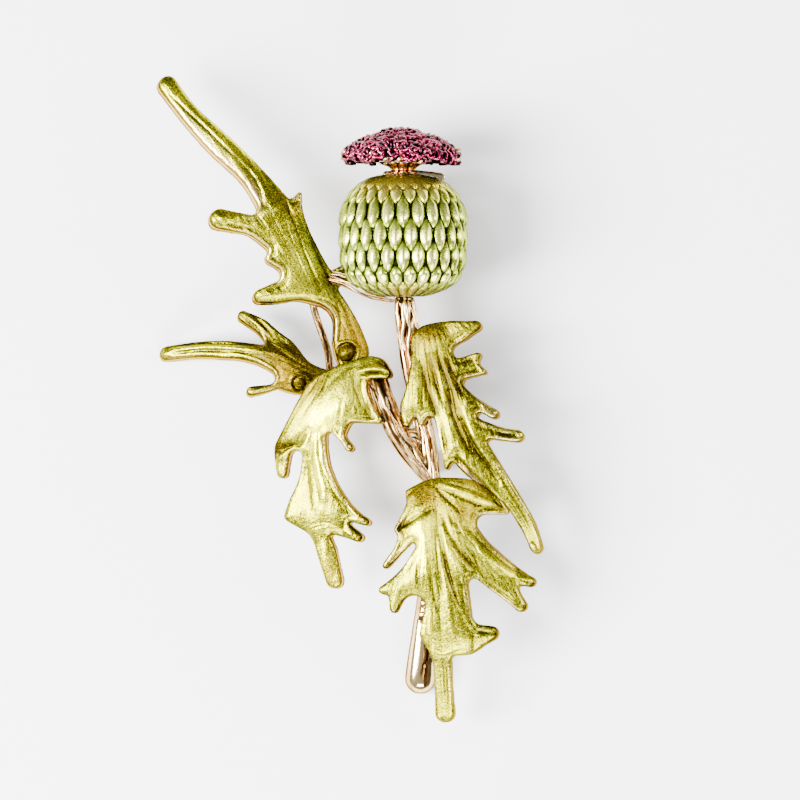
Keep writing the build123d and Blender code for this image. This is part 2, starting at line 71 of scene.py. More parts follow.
Triple = tuple[float, float, float]
Material = bpy.types.Material
Socket = bpy.types.NodeSocket
Thing = bpy.types.Object


class Slot(Enum):
    """Material slots of the record."""

    ROSE_GOLD = "rose_gold"
    OLIVE = "olive_enamel"
    SILVER_GREEN = "silver_green_enamel"
    MAGENTA = "magenta_enamel"


class Cut(Enum):
    """Kinds of chaser's stroke on a leaf."""

    GROOVE = "groove"
    RIDGE = "ridge"
    STEP = "step"


class Kind(Enum):
    """Kinds of a node group's input or output."""

    NUMBER = "NodeSocketFloat"
    PLACE = "NodeSocketVector"
    COLOUR = "NodeSocketColor"


def rgba(colour: Any) -> Any:
    """Colour with a full alpha, or the socket as it is."""
    return colour if isinstance(colour, Socket) else (*colour[:3], 1.0)


class Graph:
    """Writes the nodes of one shader tree."""

    def __init__(self, tree: bpy.types.NodeTree) -> None:
        """Start on a tree, which may hold nodes already."""
        self.tree = tree

    def feed(self, node: bpy.types.Node, inputs: dict[Any, Any]) -> None:
        """Give a node its inputs.

        Args:
            node: the node.
            inputs: values or sockets, by the input's name or number.
        """
        for key, value in inputs.items():
            if isinstance(value, Socket):
                self.tree.links.new(value, node.inputs[key])
            else:
                node.inputs[key].default_value = value

    def add(self, kind: str, inputs: dict[Any, Any] | None = None, **settings: Any) -> bpy.types.Node:
        """Add one node.

        Args:
            kind: Blender's name of the node type, after the word ShaderNode.
            inputs: values or sockets, by the input's name or number.
            settings: properties of the node.

        Returns:
            The new node.
        """
        node = self.tree.nodes.new("ShaderNode" + kind)
        for name, value in settings.items():
            setattr(node, name, value)
        self.feed(node, inputs or {})
        return node

    def math(self, operation: str, *numbers: Any) -> Socket:
        """Result of a Math node on values or sockets."""
        return self.add("Math", dict(enumerate(numbers)), operation=operation).outputs[0]

    def mix(self, share: Any, first: Any, second: Any, blend: str = "MIX") -> Socket:
        """Mix of two colours, of which the second has the given share."""
        inputs = {0: share, 6: rgba(first), 7: rgba(second)}
        return self.add("Mix", inputs, data_type="RGBA", blend_type=blend).outputs[2]

    def spread(self, value: Socket, start: Pair, result: Pair = (0.0, 1.0), smooth: bool = True) -> Socket:
        """Spread a value from one range over another, held at both ends.

        Args:
            value: the value.
            start: its range.
            result: what it becomes at the range's two ends.
            smooth: whether the ends are eased.

        Returns:
            The result's socket.
        """
        ends = dict(zip(("From Min", "From Max", "To Min", "To Max"), (*start, *result)))
        kind = "SMOOTHSTEP" if smooth else "LINEAR"
        return self.add("MapRange", {"Value": value, **ends}, interpolation_type=kind).outputs["Result"]

    def ramp(self, value: Socket, result: Pair) -> Socket:
        """Spread a value between 0 and 1 evenly over another range."""
        return self.spread(value, (0.0, 1.0), result, smooth=False)

    def between(self, share: Socket, first: Any, second: Any) -> Socket:
        """Number between two others, of which the second has the given share."""
        return self.math("MULTIPLY_ADD", self.math("SUBTRACT", second, first), share, first)

    def noise(self, place: Socket, scale: Any, **shape: float) -> Socket:
        """Value of a noise of the given scale and shape at a place."""
        return self.add("TexNoise", {"Vector": place, "Scale": scale, **shape}).outputs["Fac"]

    def bump(self, height: Socket, depth: float, strength: float, **under: Socket) -> Socket:
        """Normal of a height of the given depth in metres, over the Normal under it."""
        inputs = {"Height": height, "Distance": depth, "Strength": strength, **under}
        return self.add("Bump", inputs).outputs[0]

    def value_of(self, name: str) -> Socket:
        """Value that the mesh's vertices carry under a name."""
        return self.add("Attribute", attribute_name=name).outputs["Fac"]

    def place(self, kind: str = "Object") -> Socket:
        """Place on the object in metres, or a place of another kind."""
        return self.add("TexCoord").outputs[kind]

    def shaded(self, colour: Any, light: Socket) -> Socket:
        """Colour multiplied by a share of light."""
        grey = self.add("CombineColor", dict.fromkeys(range(3), light)).outputs[0]
        return self.mix(1.0, colour, grey, "MULTIPLY")


class EffectGroup:
    """A shader node group that finishes use. It is built once, at its first use."""

    name: str
    inputs: dict[str, Kind]
    outputs: dict[str, Kind]

    def wire(self, graph: Graph, given: Any) -> dict[str, Socket]:
        """Wire the group's inside from its inputs, and give what feeds its outputs."""
        raise NotImplementedError

    def use(self, graph: Graph, inputs: dict[str, Any]) -> Any:
        """Place the group in a material.

        Args:
            graph: the material's graph.
            inputs: values or sockets, by the input's name.

        Returns:
            The group's output sockets, by name.
        """
        tree = bpy.data.node_groups.get(self.name)
        if not tree:
            tree = bpy.data.node_groups.new(self.name, "ShaderNodeTree")
            for way, sockets in (("INPUT", self.inputs), ("OUTPUT", self.outputs)):
                for name, kind in sockets.items():
                    tree.interface.new_socket(name, in_out=way, socket_type=kind.value)
            inside = Graph(tree)
            wired = self.wire(inside, tree.nodes.new("NodeGroupInput").outputs)
            inside.feed(tree.nodes.new("NodeGroupOutput"), wired)
        return graph.add("Group", inputs, node_tree=tree).outputs


class PearlGrain(EffectGroup):
    """Fine glittering grain of metal flakes under clear enamel, with slow clouds."""

    name = "pearl_grain"
    inputs = {"Place": Kind.PLACE, "Flake Scale": Kind.NUMBER, "Cloud Scale": Kind.NUMBER}
    outputs = {"Flakes": Kind.NUMBER, "Clouds": Kind.NUMBER, "Height": Kind.NUMBER}

    def wire(self, graph: Graph, given: Any) -> dict[str, Socket]:
        """Wire the flakes and the clouds.

        Args:
            graph: the group's graph.
            given: the group's input sockets, by name.

        Returns:
            The sockets that feed the outputs, by name.
        """
        flakes = graph.noise(given["Place"], given["Flake Scale"], Detail=3.0, Roughness=0.65)
        clouds = graph.noise(given["Place"], given["Cloud Scale"], Detail=4.0, Roughness=0.55)
        slow = graph.spread(clouds, (0.32, 0.68))
        return {"Flakes": graph.spread(flakes, (0.36, 0.64)), "Clouds": slow, "Height": flakes}


class FlowLines(EffectGroup):
    """Fine drawn lines that run along a piece, from its flow values across and along."""

    name = "flow_lines"
    inputs = {"Across": Kind.NUMBER, "Along": Kind.NUMBER, "Line Scale": Kind.NUMBER, "Stretch": Kind.NUMBER}
    outputs = {"Lines": Kind.NUMBER}

    def wire(self, graph: Graph, given: Any) -> dict[str, Socket]:
        """Wire the lines, stretched along the flow.

        Args:
            graph: the group's graph.
            given: the group's input sockets, by name.

        Returns:
            The sockets that feed the outputs, by name.
        """
        along = graph.math("DIVIDE", given["Along"], given["Stretch"])
        place = graph.add("CombineXYZ", {"X": given["Across"], "Y": along}).outputs[0]
        lines = graph.noise(place, given["Line Scale"], Detail=3.5, Roughness=0.6)
        return {"Lines": graph.spread(lines, (0.3, 0.7))}

    def drawn(self, graph: Graph, scale: float, stretch: float) -> Socket:
        """Lines of the given scale and stretch along the piece's own flow."""
        flow = {"Across": graph.value_of("across"), "Along": graph.value_of("along")}
        return self.use(graph, {**flow, "Line Scale": scale, "Stretch": stretch})["Lines"]


class PaintedShadeTone(EffectGroup):
    """Colour of a finish with painted shade, dark in hollows, and painted highlight, pale on ridges."""

    name = "painted_shade_tone"
    inputs = {"Relief": Kind.NUMBER, "Deep": Kind.COLOUR, "Middle": Kind.COLOUR, "Light": Kind.COLOUR}
    outputs = {"Tone": Kind.COLOUR, "Painted Shade": Kind.NUMBER}

    def wire(self, graph: Graph, given: Any) -> dict[str, Socket]:
        """Wire the tone and the share of painted shade.

        Args:
            graph: the group's graph.
            given: the group's input sockets, by name.

        Returns:
            The sockets that feed the outputs, by name.
        """
        hollow = graph.spread(given["Relief"], (0.0, -1.0))
        raised = graph.mix(graph.spread(given["Relief"], (0.0, 1.0)), given["Middle"], given["Light"])
        return {"Tone": graph.mix(hollow, raised, given["Deep"]), "Painted Shade": hollow}


PEARL_GRAIN = PearlGrain()
FLOW_LINES = FlowLines()
PAINTED_SHADE_TONE = PaintedShadeTone()


def new_material(name: str, surface: Any) -> Material:
    """Make a material.

    Args:
        name: its name.
        surface: function that wires it on a graph and returns the shader's inputs.

    Returns:
        The material.
    """
    material = bpy.data.materials.new(name)
    material.use_nodes = True
    material.node_tree.nodes.clear()
    graph = Graph(material.node_tree)
    shader = graph.add("BsdfPrincipled", surface(graph))
    graph.add("OutputMaterial", {"Surface": shader.outputs["BSDF"]})
    return material


@dataclass(frozen=True)
class Finish:
    """What the brooch's finishes share.

    Its tones are painted shade, deep in hollows, and painted highlight, light on ridges. clouds is what slow
    clouds add to the relief. outline is the share of colour that is left where the surface has turned away
    from the view, a painted shade at the edges, and outline_turn says how far it is turned where the
    darkening begins and ends. roughness goes from the smoothest flakes to the roughest. Depths are in metres,
    scales for each metre.
    """

    name: str
    deep: Colour
    middle: Colour
    light: Colour
    edge_tint: Colour
    outline: float
    roughness: Pair
    clouds: Pair
    flake_scale: float
    cloud_scale: float
    grain_depth: float
    grain_strength: float
    outline_turn: Pair = (0.58, 0.95)

    def grain(self, graph: Graph) -> Any:
        """Sockets of the finish's grain, by name."""
        scales = {"Flake Scale": self.flake_scale, "Cloud Scale": self.cloud_scale}
        return PEARL_GRAIN.use(graph, {"Place": graph.place(), **scales})

    def toned(self, graph: Graph, grain: Any, *marks: Socket) -> Any:
        """Wire the tone by relief: painted shade where it is low, painted highlight where it is high.

        Args:
            graph: the material's graph.
            grain: the grain's sockets.
            marks: what is added to the relief besides clouds.

        Returns:
            Sockets of the tone and of the share of hollow, by name.
        """
        relief = graph.value_of("relief")
        for mark in (graph.ramp(grain["Clouds"], self.clouds), *marks):
            relief = graph.math("ADD", relief, mark)
        tones = {"Deep": rgba(self.deep), "Middle": rgba(self.middle), "Light": rgba(self.light)}
        return PAINTED_SHADE_TONE.use(graph, {"Relief": relief, **tones})

    def outlined(self, graph: Graph, colour: Socket) -> Socket:
        """Paint shade into a colour where the surface turns away from the view.

        Args:
            graph: the material's graph.
            colour: the colour.

        Returns:
            The darkened colour's socket.
        """
        turned = graph.add("LayerWeight", {"Blend": 0.5}).outputs["Facing"]
        return graph.shaded(colour, graph.spread(turned, self.outline_turn, (1.0, self.outline)))

    def surface(self, graph: Graph) -> dict[str, Any]:
        """Wire the finish, and give the shader's inputs."""
        raise NotImplementedError

    def build(self) -> Material:
        """Make the material."""
        return new_material(self.name, self.surface)


@dataclass(frozen=True)
class GoldFinish(Finish):
    """Pale rose gold plate: painted shade in hollows, painted highlight on ridges, streaks along its flow if
    any.
    """

    name: str = "rose_gold_plate"
    deep: Colour = (0.014, 0.006, 0.001)
    middle: Colour = (0.43, 0.27, 0.1)
    light: Colour = (0.86, 0.67, 0.38)
    edge_tint: Colour = (0.62, 0.42, 0.26)
    outline: float = 0.22
    roughness: Pair = (0.2, 0.3)
    polished_roughness: float = 0.11
    clouds: Pair = (0.0, 0.2)
    flake_scale: float = 3600.0
    cloud_scale: float = 500.0
    grain_depth: float = 0.00002
    grain_strength: float = 0.5
    streak: float = 0.0
    streak_scale: float = 4.5
    streak_stretch: float = 7.0

    def metal(self, graph: Graph) -> tuple[Socket, Socket, Socket]:
        """Wire the metal.

        Args:
            graph: the material's graph.

        Returns:
            Its colour, its roughness and its grain's height.
        """
        grain = self.grain(graph)
        streaks = []
        if self.streak:
            lines = FLOW_LINES.drawn(graph, self.streak_scale, self.streak_stretch)
            streaks.append(graph.ramp(lines, (-self.streak, self.streak)))
        rough = graph.ramp(grain["Clouds"], self.roughness)
        rough = graph.between(graph.value_of("polish"), rough, self.polished_roughness)
        return self.toned(graph, grain, *streaks)["Tone"], rough, grain["Height"]

    def surface(self, graph: Graph) -> dict[str, Any]:
        """Wire the finish.

        Args:
            graph: the material's graph.

        Returns:
            Values and sockets of the shader's inputs, by name.
        """
        colour, rough, height = self.metal(graph)
        return {
            "Base Color": self.outlined(graph, colour),
            "Roughness": rough,
            "Metallic": 1.0,
            "Specular Tint": rgba(self.edge_tint),
            "Normal": graph.bump(height, self.grain_depth, self.grain_strength),
        }


@dataclass(frozen=True)
class LeafFinish(Finish):
    """Pearly olive enamel over the leaf's front, and gold on its walls and back."""

    name: str = "olive_pearl_enamel"
    deep: Colour = (0.038, 0.028, 0.0006)
    middle: Colour = (0.272, 0.258, 0.005)
    light: Colour = (0.82, 0.78, 0.01)
    ochre: Colour = (0.3, 0.185, 0.001)
    edge_tint: Colour = (0.66, 0.58, 0.12)
    wall: GoldFinish = GoldFinish(
        deep=(0.022, 0.008, 0.001), middle=(0.42, 0.26, 0.1), light=(0.74, 0.52, 0.27),
    )
    outline: float = 0.25
    roughness: Pair = (0.21, 0.33)
    coat: float = 0.03
    coat_roughness: float = 0.08
    clouds: Pair = (-0.07, 0.06)
    lines: Pair = (-0.22, 0.12)
    flake_light: Pair = (0.93, 1.06)
    flake_scale: float = 5200.0
    cloud_scale: float = 420.0
    line_scale: float = 3.6
    line_stretch: float = 14.0
    wrinkle_scale: float = 2100.0
    grain_depth: float = 0.000018
    grain_strength: float = 0.7
    line_depth: float = 0.000045
    line_strength: float = 0.6
    wrinkle_depth: float = 0.000022
    wrinkle_strength: float = 0.8

    def surface(self, graph: Graph) -> dict[str, Any]:
        """Wire the finish.

        Args:
            graph: the material's graph.

        Returns:
            Values and sockets of the shader's inputs, by name.
        """
        grain = self.grain(graph)
        lines = FLOW_LINES.drawn(graph, self.line_scale, self.line_stretch)
        folds = graph.noise(graph.place(), self.wrinkle_scale, Detail=2.0, Distortion=1.4)
        wrinkles = graph.spread(folds, (0.3, 0.7), smooth=False)
        drawn = graph.math("MULTIPLY", graph.ramp(lines, self.lines), graph.value_of("lined"))
        # Painted shade in hollows and painted highlight on ridges, from the relief value.
        tone = self.toned(graph, grain, drawn)["Tone"]
        warm = graph.mix(graph.value_of("warmth"), tone, self.ochre)
        flaked = graph.shaded(warm, graph.ramp(grain["Flakes"], self.flake_light))
        gold, gold_rough, gold_height = self.wall.metal(graph)
        cover = graph.value_of("enamel")
        line_bump = graph.bump(graph.math("MULTIPLY", lines, cover), self.line_depth, self.line_strength)
        wrinkled = graph.math("MULTIPLY", wrinkles, cover)
        wrinkle_bump = graph.bump(wrinkled, self.wrinkle_depth, self.wrinkle_strength, Normal=line_bump)
        return {
            "Base Color": self.outlined(graph, graph.mix(cover, gold, flaked)),
            "Roughness": graph.between(cover, gold_rough, graph.ramp(grain["Flakes"], self.roughness)),
            "Metallic": 1.0,
            "Coat Weight": graph.math("MULTIPLY", cover, self.coat),
            "Coat Roughness": self.coat_roughness,
            "Specular Tint": rgba(self.edge_tint),
            "Normal": graph.bump(gold_height, self.grain_depth, self.grain_strength, Normal=wrinkle_bump),
        }


@dataclass(frozen=True)
class GlobeFinish(Finish):
    """Silvery green enamel on the globe's scales, ochre over the cap and by the stem."""

    name: str = "silver_green_pearl_enamel"
    deep: Colour = (0.016, 0.027, 0.0015)
    middle: Colour = (0.39, 0.47, 0.045)
    light: Colour = (1.0, 0.94, 0.26)
    ochre: Colour = (1.0, 0.79, 0.05)
    ochre_shade: float = 0.25
    edge_tint: Colour = (0.5, 0.52, 0.22)
    outline: float = 0.1
    outline_turn: Pair = (0.4, 0.95)
    metallic: float = 0.92
    roughness: Pair = (0.19, 0.32)
    coat: float = 0.2
    coat_end: float = 0.6
    coat_roughness: float = 0.1
    clouds: Pair = (-0.25, 0.2)
    flake_scale: float = 4200.0
    cloud_scale: float = 520.0
    grain_depth: float = 0.00003
    grain_strength: float = 0.5

    def surface(self, graph: Graph) -> dict[str, Any]:
        """Wire the finish.

        Args:
            graph: the material's graph.

        Returns:
            Values and sockets of the shader's inputs, by name.
        """
        grain = self.grain(graph)
        toned = self.toned(graph, grain)
        # The ochre takes painted shade where the relief is low.
        ochre = graph.mix(graph.math("MULTIPLY", toned["Painted Shade"], self.ochre_shade), self.ochre, self.deep)
        colour = graph.mix(graph.value_of("warmth"), toned["Tone"], ochre)
        coat = graph.spread(toned["Painted Shade"], (0.0, self.coat_end), (self.coat, 0.0), smooth=False)
        return {
            "Base Color": self.outlined(graph, colour),
            "Roughness": graph.ramp(grain["Flakes"], self.roughness),
            "Metallic": self.metallic,
            "Coat Weight": coat,
            "Coat Roughness": self.coat_roughness,
            "Specular Tint": rgba(self.edge_tint),
            "Normal": graph.bump(grain["Height"], self.grain_depth, self.grain_strength),
        }


@dataclass(frozen=True)
class TuftFinish(Finish):
    """Magenta enamel on the curls, with painted shade of dark crimson in their depths, gold where rubbed
    through.
    """

    name: str = "magenta_enamel_gloss"
    deep: Colour = (0.004, 0.0001, 0.0006)
    middle: Colour = (0.1, 0.0004, 0.018)
    light: Colour = (0.47, 0.002, 0.09)
    gold: Colour = (0.6, 0.42, 0.16)
    edge_tint: Colour = (0.42, 0.015, 0.1)
    outline: float = 0.15
    metallic: float = 0.92
    roughness: Pair = (0.15, 0.25)
    coat: float = 0.65
    coat_roughness: float = 0.03
    clouds: Pair = (-0.35, 0.25)
    flake_scale: float = 3800.0
    cloud_scale: float = 900.0
    grain_depth: float = 0.00003
    grain_strength: float = 0.4

    def surface(self, graph: Graph) -> dict[str, Any]:
        """Wire the finish.

        Args:
            graph: the material's graph.

        Returns:
            Values and sockets of the shader's inputs, by name.
        """
        grain = self.grain(graph)
        toned = self.toned(graph, grain)
        bare = graph.value_of("bare")
        return {
            "Base Color": self.outlined(graph, graph.mix(bare, toned["Tone"], self.gold)),
            "Roughness": graph.ramp(grain["Flakes"], self.roughness),
            "Metallic": graph.ramp(bare, (self.metallic, 1.0)),
            "Coat Weight": graph.ramp(toned["Painted Shade"], (self.coat, 0.0)),
            "Coat Roughness": self.coat_roughness,
            "Specular Tint": rgba(self.edge_tint),
            "Normal": graph.bump(grain["Height"], self.grain_depth, self.grain_strength),
        }


@dataclass(frozen=True)
class FloorFinish:
    """Plain pale studio floor with a faint unevenness."""

    name: str = "pale_floor"
    colour: Colour = (0.91, 0.91, 0.925)
    shade: Colour = (0.89, 0.89, 0.91)
    roughness: float = 0.55
    flake_scale: float = 900.0
    cloud_scale: float = 6.0

    def surface(self, graph: Graph) -> dict[str, Any]:
        """Wire the finish.

        Args:
            graph: the material's graph.

        Returns:
            Values and sockets of the shader's inputs, by name.
        """
        scales = {"Flake Scale": self.flake_scale, "Cloud Scale": self.cloud_scale}
        clouds = PEARL_GRAIN.use(graph, {"Place": graph.place(), **scales})["Clouds"]
        return {"Base Color": graph.mix(clouds, self.shade, self.colour), "Roughness": self.roughness}

    def build(self) -> Material:
        """Make the material."""
        return new_material(self.name, self.surface)


def part_way(value: Any, start: float, end: float) -> Any:
    """Share of the way from start to end, held between 0 and 1."""
    return np.clip((value - start) / (end - start), 0, 1)


def bell(value: Any, middle: float, width: float) -> Any:
    """1 at the middle, falling off on both sides within about the width."""
    return np.exp(-(((value - middle) / width) ** 2))


def between(share: Any, ends: Pair) -> Any:
    """Number at a share of the way from the first of two ends to the second."""
    return ends[0] + (ends[1] - ends[0]) * share


@dataclass(frozen=True)
class Wave:
    """A sine wave: its height, its angle for each unit of a run, and its angle at the run's start."""

    height: float
    pitch: float
    phase: float = 0.0

    def at(self, run: Any, shift: Any = 0.0) -> Any:
        """Value of the wave at a run, shifted by an angle."""
        return self.height * np.sin(run * self.pitch + self.phase + shift)


def round_turn(count: int) -> Array:
    """Angles of that many even steps of a full turn, in radians."""
    return np.linspace(0, 2 * math.pi, count, endpoint=False)


def put_mesh(name: str, points: Array, faces: Any, values: dict[str, Array]) -> Thing:
    """Put a smooth mesh into the scene.

    Args:
        name: the object's name.
        points: vertices, in millimetres.
        faces: faces, as tuples of vertex numbers.
        values: vertex values by name.

    Returns:
        The new object, in metres.
    """
    mesh = bpy.data.meshes.new(name)
    mesh.from_pydata((points * MILLIMETRE).tolist(), [], faces)
    mesh.polygons.foreach_set("use_smooth", [True] * len(mesh.polygons))
    for key, value in values.items():
        layer = mesh.attributes.new(key, "FLOAT", "POINT")
        layer.data.foreach_set("value", np.ascontiguousarray(value, np.float32))
    mesh.update()
    thing = bpy.data.objects.new(name, mesh)
    bpy.context.scene.collection.objects.link(thing)
    return thing


class MeshBatch:
    """Collects vertices, faces and vertex values, and turns them into one object."""

    def __init__(self) -> None:
        """Start with nothing."""
        self.points: list[Array] = []
        self.faces: list[Face] = []
        self.values: dict[str, list[Array]] = {}
        self.count = 0

    def add(self, points: Array, faces: list[Face], **values: Any) -> None:
        """Add a closed form.

        Args:
            points: its vertices in millimetres, in a list or in rings.
            faces: its faces, counted from its own first vertex.
            values: values of its vertices, or one for all or for each ring or place in a ring, by name.
        """
        self.faces += [tuple(index + self.count for index in face) for face in faces]
        for name, value in values.items():
            self.values.setdefault(name, []).append(np.broadcast_to(value, points.shape[:-1]).ravel())
        self.points.append(points.reshape(-1, 3))
        self.count += len(self.points[-1])

    def build(self, name: str) -> Thing:
        """Make the object, in metres, in the scene."""
        values = {key: np.concatenate(parts) for key, parts in self.values.items()}
        return put_mesh(name, np.concatenate(self.points), self.faces, values)


def loft_faces(rings: int, around: int, inside_out: bool = False) -> list[Face]:
    """Faces of a closed form made of closed rings, with a flat face at each end.

    Args:
        rings: number of rings.
        around: number of vertices in a ring.
        inside_out: whether the faces look the other way.

    Returns:
        The faces, as tuples of vertex numbers.
    """
    faces: list[Face] = []
    for low in range(0, (rings - 1) * around, around):
        for step in range(around):
            after = (step + 1) % around
            faces.append((low + step, low + after, low + around + after, low + around + step))
    faces.append(tuple(range(around))[::-1])
    faces.append(tuple(range((rings - 1) * around, rings * around)))
    return [face[::-1] for face in faces] if inside_out else faces


def tube_points(path: Array, radii: Array, sides: int) -> Array:
    """Rings of a round wire along a path.

    Args:
        path: points along the wire's middle.
        radii: radius at each point.
        sides: vertices in a ring.

    Returns:
        The vertices, in rings.
    """
    headings = np.gradient(path, axis=0)
    headings /= np.linalg.norm(headings, axis=1, keepdims=True)
    side = np.cross(headings[0], ANY_DIRECTION)
    angles = round_turn(sides)[:, None]
    rings = []
    for place, heading, radius in zip(path, headings, radii):
        side = side - heading * (side @ heading)
        side /= np.linalg.norm(side)
        other = np.cross(heading, side)
        rings.append(place + radius * (np.cos(angles) * side + np.sin(angles) * other))
    return np.stack(rings)


def node_box(node: str) -> tuple[Array, Array]:
    """Lowest and highest corner of a CAD node, in millimetres."""
    low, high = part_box(node)
    return np.array(low) / MILLIMETRE, np.array(high) / MILLIMETRE


def node_root(node: str, span: Span) -> tuple[Array, float]:
    """Where a node's root lies and how long it is, from its box.

    Args:
        node: the node.
        span: its reach in shares of its length from its root: left, right, low, high.

    Returns:
        The root's x and y, and the length, in millimetres.
    """
    low, high = node_box(node)
    length = (high[1] - low[1]) / (span[3] - span[2])
    return np.array((low[0] - span[0] * length, low[1] - span[2] * length)), length


def dress(thing: Thing, material: Material, node: str) -> None:
    """Give a piece its material and body, and hide the node that it stands for.

    Args:
        thing: the piece.
        material: its material.
        node: the CAD node that it replaces.
    """
    thing.data.materials.append(material)
    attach(thing, BODY)
    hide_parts(node)
    LOG.info("%s: %d vertices", thing.name, len(thing.data.vertices))


@dataclass
class CastSkin:
    """A CAD node's form as an even, softened skin that can be chased, in millimetres."""

    node: str
    voxel: float
    soften: int
    points: Array = field(init=False)
    faces: list[Face] = field(init=False)
    edges: Array = field(init=False)

    def __post_init__(self) -> None:
        """Take the node's form, remesh it evenly and soften it."""
        copy = bpy.data.objects.new(self.node + "_skin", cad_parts[self.node].data.copy())
        bpy.context.scene.collection.objects.link(copy)
        copy.data.transform(Matrix.Scale(1 / MILLIMETRE, 4))
        remesh = copy.modifiers.new("even", "REMESH")
        remesh.mode = "VOXEL"
        remesh.voxel_size = self.voxel
        mesh = bpy.data.meshes.new_from_object(copy.evaluated_get(bpy.context.evaluated_depsgraph_get()))
        places = np.zeros(len(mesh.vertices) * 3, np.float32)
        mesh.vertices.foreach_get("co", places)
        self.points = places.reshape(-1, 3).astype(float)
        self.faces = [tuple(face.vertices) for face in mesh.polygons]
        self.edges = np.array([tuple(edge.vertices) for edge in mesh.edges])
        bpy.data.objects.remove(copy)
        bpy.data.meshes.remove(mesh)
        for _ in range(self.soften):
            self.even_out()

    def even_out(self) -> None:
        """Move each vertex halfway to the middle of its neighbours."""
        count = len(self.points)
        first, second = self.edges.T
        degree = np.maximum(np.bincount(first, minlength=count) + np.bincount(second, minlength=count), 1)
        columns = []
        for column in self.points.T:
            near = np.bincount(first, column[second], count) + np.bincount(second, column[first], count)
            columns.append(0.5 * column + 0.5 * near / degree)
        self.points = np.stack(columns, axis=1)

    def normals(self) -> Array:
        """Mean direction of the faces round each vertex.

        Returns:
            Unit normals of the vertices.
        """
        corners = np.array([face[:4] for face in self.faces])
        places = self.points[corners]
        across = np.cross(places[:, 2] - places[:, 0], places[:, 3] - places[:, 1])
        out = np.zeros_like(self.points)
        for corner in corners.T:
            for axis in range(3):
                out[:, axis] += np.bincount(corner, across[:, axis], len(self.points))
        return out / np.maximum(np.linalg.norm(out, axis=1, keepdims=True), 1e-9)


@dataclass(frozen=True)
class Stroke:
    """One chased stroke: a bent line in shares of the leaf's length, width and depth in millimetres.

    It fades out at its ends, and its sides fall off as steeply as its shape says. A step is higher on the
    left of its heading and reaches some widths out.
    """

    cut: Cut
    start: Pair
    middle: Pair
    end: Pair
    width: float
    depth: float
    shape: float = 1.6
    fade: float = 0.4
    step_reach: float = 4.0
    pieces: int = 12

    def relief(self, places: Array, length: float) -> Array:
        """Height that the stroke adds.

        Args:
            places: vertices in shares of the leaf's length, seen from the front.
            length: the leaf's length.

        Returns:
            Heights in millimetres.
        """
        distance, run, side = self.measured(places, length)
        widths = distance / self.width
        height = self.depth * np.sin(np.pi * np.clip(run, 0.04, 0.96)) ** self.fade
        if self.cut is Cut.STEP:
            return height * side * np.exp(-widths / self.step_reach) * np.tanh(widths)
        return (-height if self.cut is Cut.GROOVE else height) * np.exp(-(widths**self.shape))

    def measured(self, places: Array, length: float) -> tuple[Array, Array, Array]:
        """Where places lie beside the stroke's line.

        Args:
            places: vertices in shares of the leaf's length, seen from the front.
            length: the leaf's length.

        Returns:
            Distances in millimetres, shares of the stroke's run, and 1 on the left of its heading or -1.
        """
        shares = np.linspace(0, 1, self.pieces + 1)[:, None]
        start, middle, end = (np.array(point) for point in (self.start, self.middle, self.end))
        route = (1 - shares) ** 2 * start + 2 * shares * (1 - shares) * middle + shares**2 * end
        step = route[1:] - route[:-1]
        gap = places[:, None, :] - route[None, :-1]
        along = np.clip((gap * step).sum(2) / (step**2).sum(1), 0, 1)
        away = gap - along[..., None] * step
        nearest = (away**2).sum(2).argmin(1)
        rows = np.arange(len(places))
        near_step, near_gap = step[nearest], gap[rows, nearest]
        side = np.sign(near_step[:, 0] * near_gap[:, 1] - near_step[:, 1] * near_gap[:, 0])
        distance = np.linalg.norm(away[rows, nearest], axis=1) * length
        return distance, (nearest + along[rows, nearest]) / self.pieces, side


@dataclass(frozen=True)
class Patch:
    """A place on a leaf that is treated by itself: centre and reach in shares of its length, and strength."""

    x: float
    y: float
    reach: float
    strength: float

    def cover(self, places: Array) -> Array:
        """Strength of the patch at places in shares of the leaf's length."""
        squares = (places[:, 0] - self.x) ** 2 + (places[:, 1] - self.y) ** 2
        return self.strength * np.exp(-squares / self.reach**2)


@dataclass(frozen=True)
class Boss:
    """A round knob on a leaf, with a sunk line at its foot and a raised ring round it.

    Its place is in shares of the leaf's length. Its radius, its ring's height, gap and width and its line's
    width are in millimetres, and the line's depth is in heights of the ring.
    """

    x: float
    y: float
    radius: float
    ring: float
    ring_gap: float = 0.38
    ring_width: float = 0.15
    line_width: float = 0.17
    line_depth: float = 1.6

    def beyond(self, places: Array, length: float) -> Array:
        """Distance outside the knob's outline, in millimetres."""
        return np.hypot(places[:, 0] - self.x, places[:, 1] - self.y) * length - self.radius

    def relief(self, places: Array, length: float) -> Array:
        """Height that the line and ring add.

        Args:
            places: vertices in shares of the leaf's length, seen from the front.
            length: the leaf's length.

        Returns:
            Heights in millimetres.
        """
        distance = self.beyond(places, length)
        line = self.line_depth * bell(distance, 0.0, self.line_width)
        return self.ring * (bell(distance, self.ring_gap, self.ring_width) - line)


